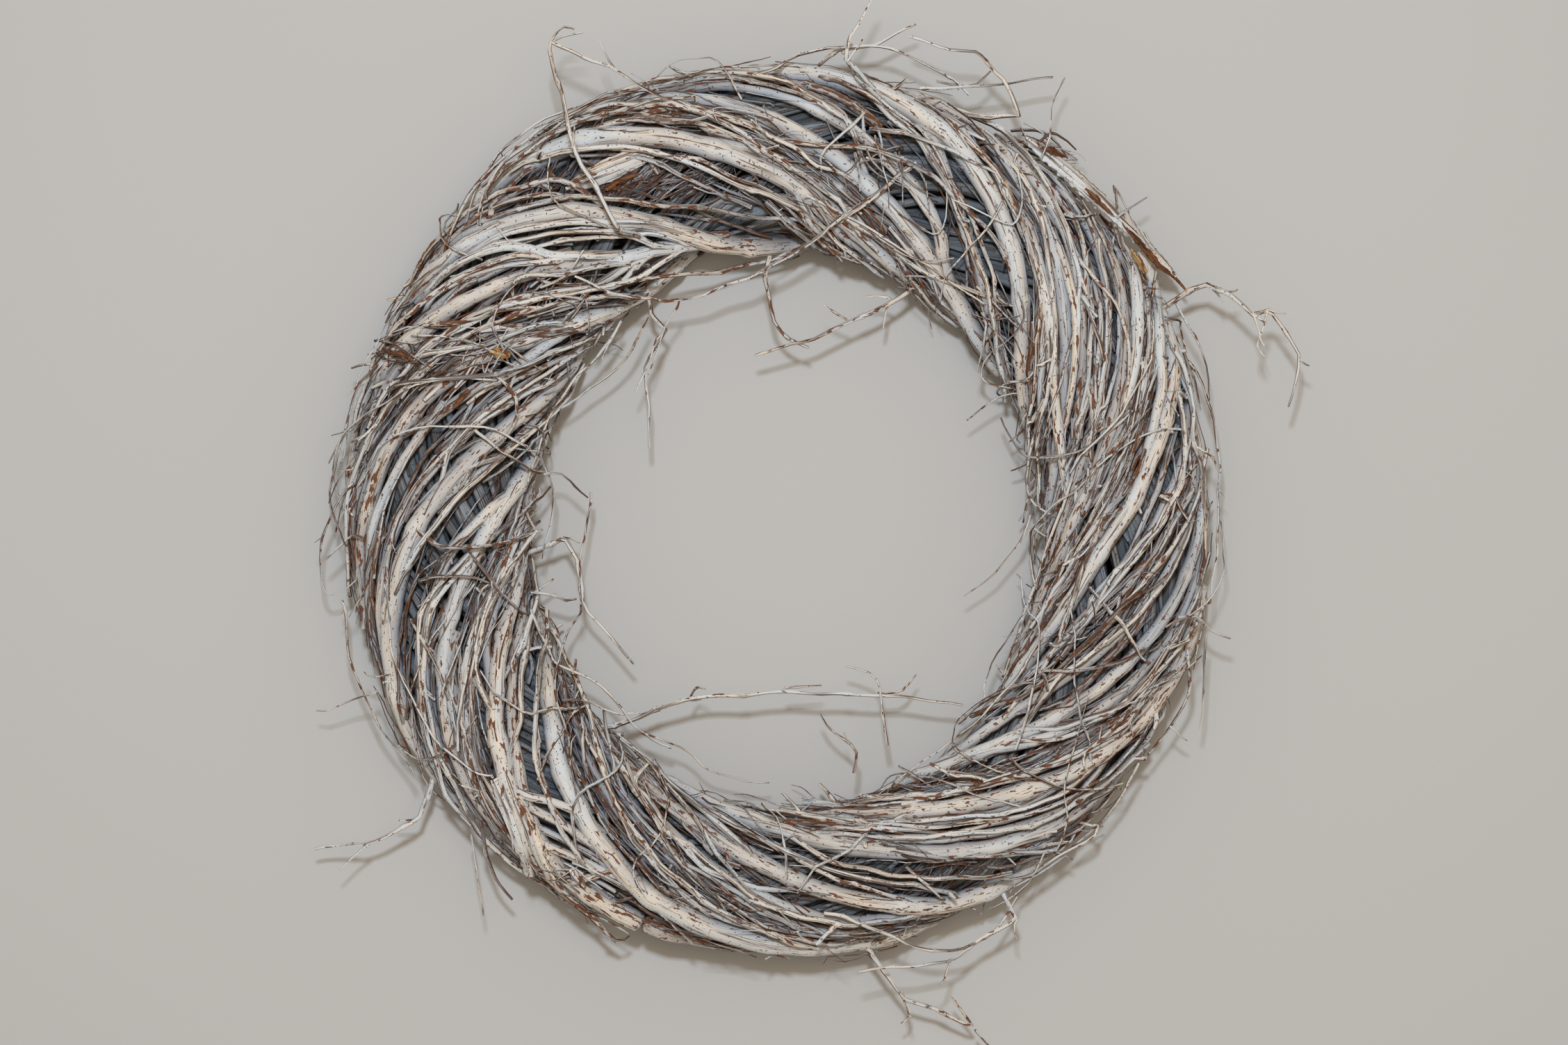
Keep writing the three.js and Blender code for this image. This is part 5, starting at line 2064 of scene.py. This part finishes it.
def mean(values: Sequence[float]) -> float:
    """Gives the mean of some values."""
    return sum(values) / len(values)


@dataclass
class FrontBoughs:
    """The boughs that show on the wreath's face, with their twigs and stray sprigs."""

    starts: tuple[float, ...] = (
        -12, -36, 12, -33, -8, -26, -14, -30, -10, -38, -20, -9, -32, -12, -24, 20, -30,
    )
    ends: tuple[float, ...] = (
        200, 214, 219, 181, 222, 196, 209, 192, 216, 198, 224, 206, 194, 218, 203, 196, 212,
    )
    twigs: int = 4
    lifts: Pair = (4.5 * MM, 7.5 * MM)
    seed: int = 100
    fill: TwigFill = TwigFill(6, (1.1 * MM, 2.2 * MM), 36, (0.35 * MM, 1.2 * MM), 26, 3, shreds=30)
    densities: tuple[Pair, ...] = ((2, 0.5), (4, 0.6), (7, 0.8), (8, 0.8), (9, 0.8), (14, 0.8))
    stubs: Twiglets = Twiglets(0.4, (5 * MM, 14 * MM), (0.8 * MM, 1.6 * MM))
    stem_spacing: float = 3.5 * MM
    twig_spacing: float = 5 * MM
    settings: TubeSettings = TubeSettings(16, 5)

    def boughs(self) -> list[tuple[int, Bough]]:
        """Makes the boughs.

        Returns:
            Pairs of a bough's first lane's number and the bough.
        """
        made = []
        for lanes, stem, butt, sway, forks, *drift in BOUGH_ROWS:
            start = mean([self.starts[lane] for lane in lanes])
            end = mean([self.ends[lane] for lane in lanes])
            bough = Bough(mean(lanes), len(lanes), stem * MM, butt, sway, forks, start, end, *drift)
            bough.grow(self.twigs * bough.wide, self.lifts, self.seed + lanes[0])
            made.append((lanes[0], bough))
        return made

    def routes(self, first: int, bough: Bough) -> list[Route]:
        """Makes all that a bough is made of.

        Args:
            first: its first lane's number.
            bough: the bough.

        Returns:
            The routes of its strands, stubs, sprigs, placed twigs and fine twigs.
        """
        dice = random.Random(f"front {first}")
        made = []
        for index, strand in enumerate(bough.strands):
            is_stem = index <= len(bough.forks)
            spacing = self.stem_spacing if is_stem else self.twig_spacing
            made.append(strand_route(bough, strand, is_stem, spacing, dice))
        for route in list(made):
            made += [stub for stub in self.stubs.routes(route, dice) if not over_gap(stub.points)]
        for sprig in SPRIGS:
            if sprig.lane == first:
                made += sprig.routes(bough, dice)
        for extra in (*FACE_TWIGS, *STRAYS, *FRAYS):
            if first <= extra.lane < first + bough.wide:
                made += extra.routes(dice)
        return made + self.fill.routes(bough, dict(self.densities).get(first, 1.0), dice)

    def plans(self) -> list[Plan]:
        """Plans a piece for each front bough.

        Returns:
            The plans.
        """
        return [
            Plan(f"front_bough_{number:02d}", "bark", "whitewashed_bark", self.routes(*bough), self.settings)
            for number, bough in enumerate(self.boughs(), start=1)
        ]


@dataclass
class BackBoughs:
    """The boughs on the side that lies on the floor, with fewer twigs."""

    front: FrontBoughs
    stem: float = 4.4 * MM
    sway: float = 0.05
    fork_leaves: Pair = (0.1, 0.4)
    fork_aside: float = 0.3
    fork_thick: float = 0.6
    twigs: int = 2
    lifts: Pair = (2.5 * MM, 4 * MM)
    seed: int = 400
    strand_seed: int = 700
    fill: TwigFill = TwigFill(
        5, (1.4 * MM, 2.4 * MM), 12, (0.6 * MM, 1.2 * MM), 8, 0, pile=(0.0, 2.0 * MM), stray_share=0.15,
        stray_lift=(2 * MM, 6 * MM), spacing=11 * MM,
        side_twigs=Twiglets(0.1, (4 * MM, 14 * MM), (0.4 * MM, 0.7 * MM)),
    )
    spacing: float = 7 * MM
    settings: TubeSettings = TubeSettings(10, 4)

    def bough(self, lane: int) -> Bough:
        """Makes the back bough of a lane.

        Args:
            lane: the lane's number.

        Returns:
            The bough, with its strands.
        """
        draw = Draw(self.seed + lane)
        following = (lane + WINDING.lanes_around) % WINDING.lanes
        sway = draw.between(-self.sway, self.sway)
        butt = Rim.OUTER if draw() < 0.5 else Rim.INNER
        leaves = draw.between(*self.fork_leaves)
        side = self.fork_aside if draw() < 0.5 else -self.fork_aside
        start = 360 + self.front.starts[following] - RULE.butt_break
        end = self.front.ends[lane] + RULE.butt_break
        made = Bough(lane, 1, self.stem, butt, sway, [(leaves, side, self.fork_thick)], start, end)
        made.grow(self.twigs, self.lifts, self.strand_seed + lane)
        return made

    def routes(self, lane: int) -> list[Route]:
        """Makes all that the back bough of a lane is made of.

        Args:
            lane: the lane's number.

        Returns:
            The routes of its strands and fine twigs.
        """
        bough = self.bough(lane)
        dice = random.Random(f"back {lane}")
        made = [
            strand_route(bough, strand, index <= len(bough.forks), self.spacing, dice)
            for index, strand in enumerate(bough.strands)
        ]
        return made + self.fill.routes(bough, 1.0, dice)

    def plans(self) -> list[Plan]:
        """Plans a piece for each back bough.

        Returns:
            The plans.
        """
        return [
            Plan(f"back_bough_{lane + 1:02d}", "bark", "weathered_bark", self.routes(lane), self.settings)
            for lane in range(WINDING.lanes)
        ]


@dataclass
class CoreCanes:
    """The bunched canes inside, twisted against the boughs' winding, in eight arcs."""

    bunches: int = 8
    layers: tuple[tuple[int, float], ...] = ((34, 0.99), (26, 0.86))
    radii: Pair = (1.0 * MM, 3.6 * MM)
    paint: Pair = (0.6, 1)
    wander: float = 16
    wander_circle: float = 3
    wander_step: float = 1.7
    rise: float = 0.09
    step: float = 5
    settings: TubeSettings = TubeSettings(8, 6, relief=0.35)

    def route(self, bunch: int, cane: int, angle: float, share: float) -> Route:
        """Makes a cane's run through one bunch, in line with its run through the next.

        Args:
            bunch: the bunch's number.
            cane: the cane's number in its layer.
            angle: where the cane starts, in degrees round the section.
            share: how far out its layer lies, where 1 is the core's surface.

        Returns:
            Its route.
        """
        dice = random.Random(f"cane {cane} {share}")
        radius = dice.uniform(*self.radii)
        tone = dice.random()
        arc = 360 / self.bunches
        points = []
        for i in range(-1, round(arc / self.step) + 2):
            ring_angle = arc * bunch + i * self.step
            turned = math.radians(ring_angle)
            circle = (math.cos(turned) * self.wander_circle, math.sin(turned) * self.wander_circle)
            where = Vector((*circle, cane * self.wander_step))
            drift = self.wander * noise.noise(where)
            rise = self.rise * noise.noise(where + Vector((9, 9, 9)))
            section = angle + ring_angle * WINDING.turn_rate + drift
            points.append(WINDING.ring_point(ring_angle, section, share + rise, -radius))
        return Route(points, [radius] * len(points), tone, dice.uniform(*self.paint))

    def plans(self) -> list[Plan]:
        """Plans a piece for each bunch.

        Returns:
            The plans.
        """
        canes = [(cane, 360 * cane / count, share) for count, share in self.layers for cane in range(count)]
        made = []
        for bunch in range(self.bunches):
            routes = [self.route(bunch, *cane) for cane in canes]
            made.append(Plan(f"core_canes_{bunch + 1}", "bundle", "inner_canes", routes, self.settings))
        return made


@dataclass(frozen=True)
class Lamp:
    """A square light that faces the wreath."""

    name: str
    place: Place
    side: float
    power: float
    colour: str

    def hang(self) -> None:
        """Hangs the light."""
        light = bpy.data.lights.new(self.name, "AREA")
        light.shape = "SQUARE"
        light.size = self.side
        light.energy = self.power
        light.color = linear(self.colour)[:3]
        lamp = put_in_scene(self.name, light)
        lamp.location = self.place
        lamp.rotation_euler = (-Vector(self.place)).to_track_quat("-Z", "Y").to_euler()


@dataclass(frozen=True)
class Studio:
    """A plain pale floor, soft light from above the camera, and the photo's view."""

    floor_colour: str = "#C0C2C0"
    floor_roughness: float = 0.9
    floor_gloss: float = 0.1
    floor_side: float = 30.0
    view_centre: Pair = (-7.6 * MM, -2.0 * MM)
    view_width: float = 698 * MM
    view_plane: float = 40 * MM
    lens: float = 50
    sensor: float = 22.3
    lamps: tuple[Lamp, ...] = (
        Lamp("key", (-0.05, 0.34, 1.65), 0.1, 15.6, "#E6F1FF"),
        Lamp("room", (0.1, 0.15, 1.6), 0.6, 5.5, "#FFDCB6"),
    )
    sky_colour: str = "#FFF0E0"
    sky_strength: float = 0.39

    def floor(self) -> None:
        """Lays the floor, a painted board: matt, so it gives back no image of the wreath."""
        half = self.floor_side / 2
        mesh = bpy.data.meshes.new("floor")
        corners = [(-half, -half, 0), (half, -half, 0), (half, half, 0), (-half, half, 0)]
        mesh.from_pydata(corners, [], [(0, 1, 2, 3)])
        made = bpy.data.materials.new("painted board")
        made.use_nodes = True
        shader = made.node_tree.nodes["Principled BSDF"]
        shader.inputs["Base Color"].default_value = linear(self.floor_colour)
        shader.inputs["Roughness"].default_value = self.floor_roughness
        shader.inputs["Specular IOR Level"].default_value = self.floor_gloss
        mesh.materials.append(made)
        put_in_scene("floor", mesh)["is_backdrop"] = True

    def sky(self) -> None:
        """Makes the even light of the room."""
        world = bpy.data.worlds.new("room")
        world.use_nodes = True
        shade = world.node_tree.nodes["Background"]
        shade.inputs["Color"].default_value = linear(self.sky_colour)
        shade.inputs["Strength"].default_value = self.sky_strength
        bpy.context.scene.world = world

    def camera(self) -> None:
        """Sets the camera over the wreath, looking straight down with the wreath's top up."""
        camera = bpy.data.cameras.new("camera")
        camera.lens = self.lens
        camera.sensor_width = self.sensor
        holder = put_in_scene("camera", camera)
        distance = self.view_width * self.lens / self.sensor
        holder.location = (*self.view_centre, self.view_plane + distance)
        bpy.context.scene.camera = holder

    def build(self) -> None:
        """Sets the stage."""
        self.floor()
        for lamp in self.lamps:
            lamp.hang()
        self.sky()
        self.camera()


def main() -> None:
    """Builds the wreath and its stage."""
    logging.basicConfig(level=logging.INFO, format="%(name)s %(message)s")
    noise.seed_set(KINK_SEED)
    bpy.context.scene.view_settings.view_transform = "Standard"
    Studio().build()
    front = FrontBoughs()
    plans = [*front.plans(), *BackBoughs(front).plans(), *CoreCanes().plans()]
    # Towards the floor the paint is duller and a little more of it has come off.
    weathered = BarkFinish("weathered bark", paint_out="#CFC8BE", chip_level=0.76)
    # Deep inside, the canes get a bluer, darker painted shade with some dust over thin paint, and they are
    # hardly chipped.
    inner = BarkFinish(
        "inner cane", paint_out="#D5D3CF", shaded_paint="#A4ACB2", dust="#3A4750", dirt_and_shade_depths=(5 * MM, 12 * MM),
        chip_level=0.9,
    )
    finishes = {
        "whitewashed_bark": BarkFinish("whitewashed bark").material(),
        "weathered_bark": weathered.material(),
        "inner_canes": inner.material(),
    }
    maker = PieceMaker(plans, finishes)
    for plan in plans:
        maker.make(plan)
    # Torn bark shows its bare inner side: matt red-brown with darker strings.
    torn = BarkFinish("torn bark", "#8A5A38", "#6B4128", "#55331F", streak="#4A2C1C", bark="#4F2E1C")
    # Raw wood is fresh ochre heartwood with a slightly darker grain.
    raw = BarkFinish("raw wood", "#C6A06C", "#B48B54", "#97713F", streak="#A88150")
    surfaces = {"paint": finishes["whitewashed_bark"], "bark": torn.material(), "heartwood": raw.material()}
    for peel in PEELS:
        peel.make(surfaces)
    bounds = {"cad": CAD_BOUNDS, "visual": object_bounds()}
    sizes = {name: [list(corner) for corner in corners] for name, corners in bounds.items()}


if __name__ == "__main__":
    main()
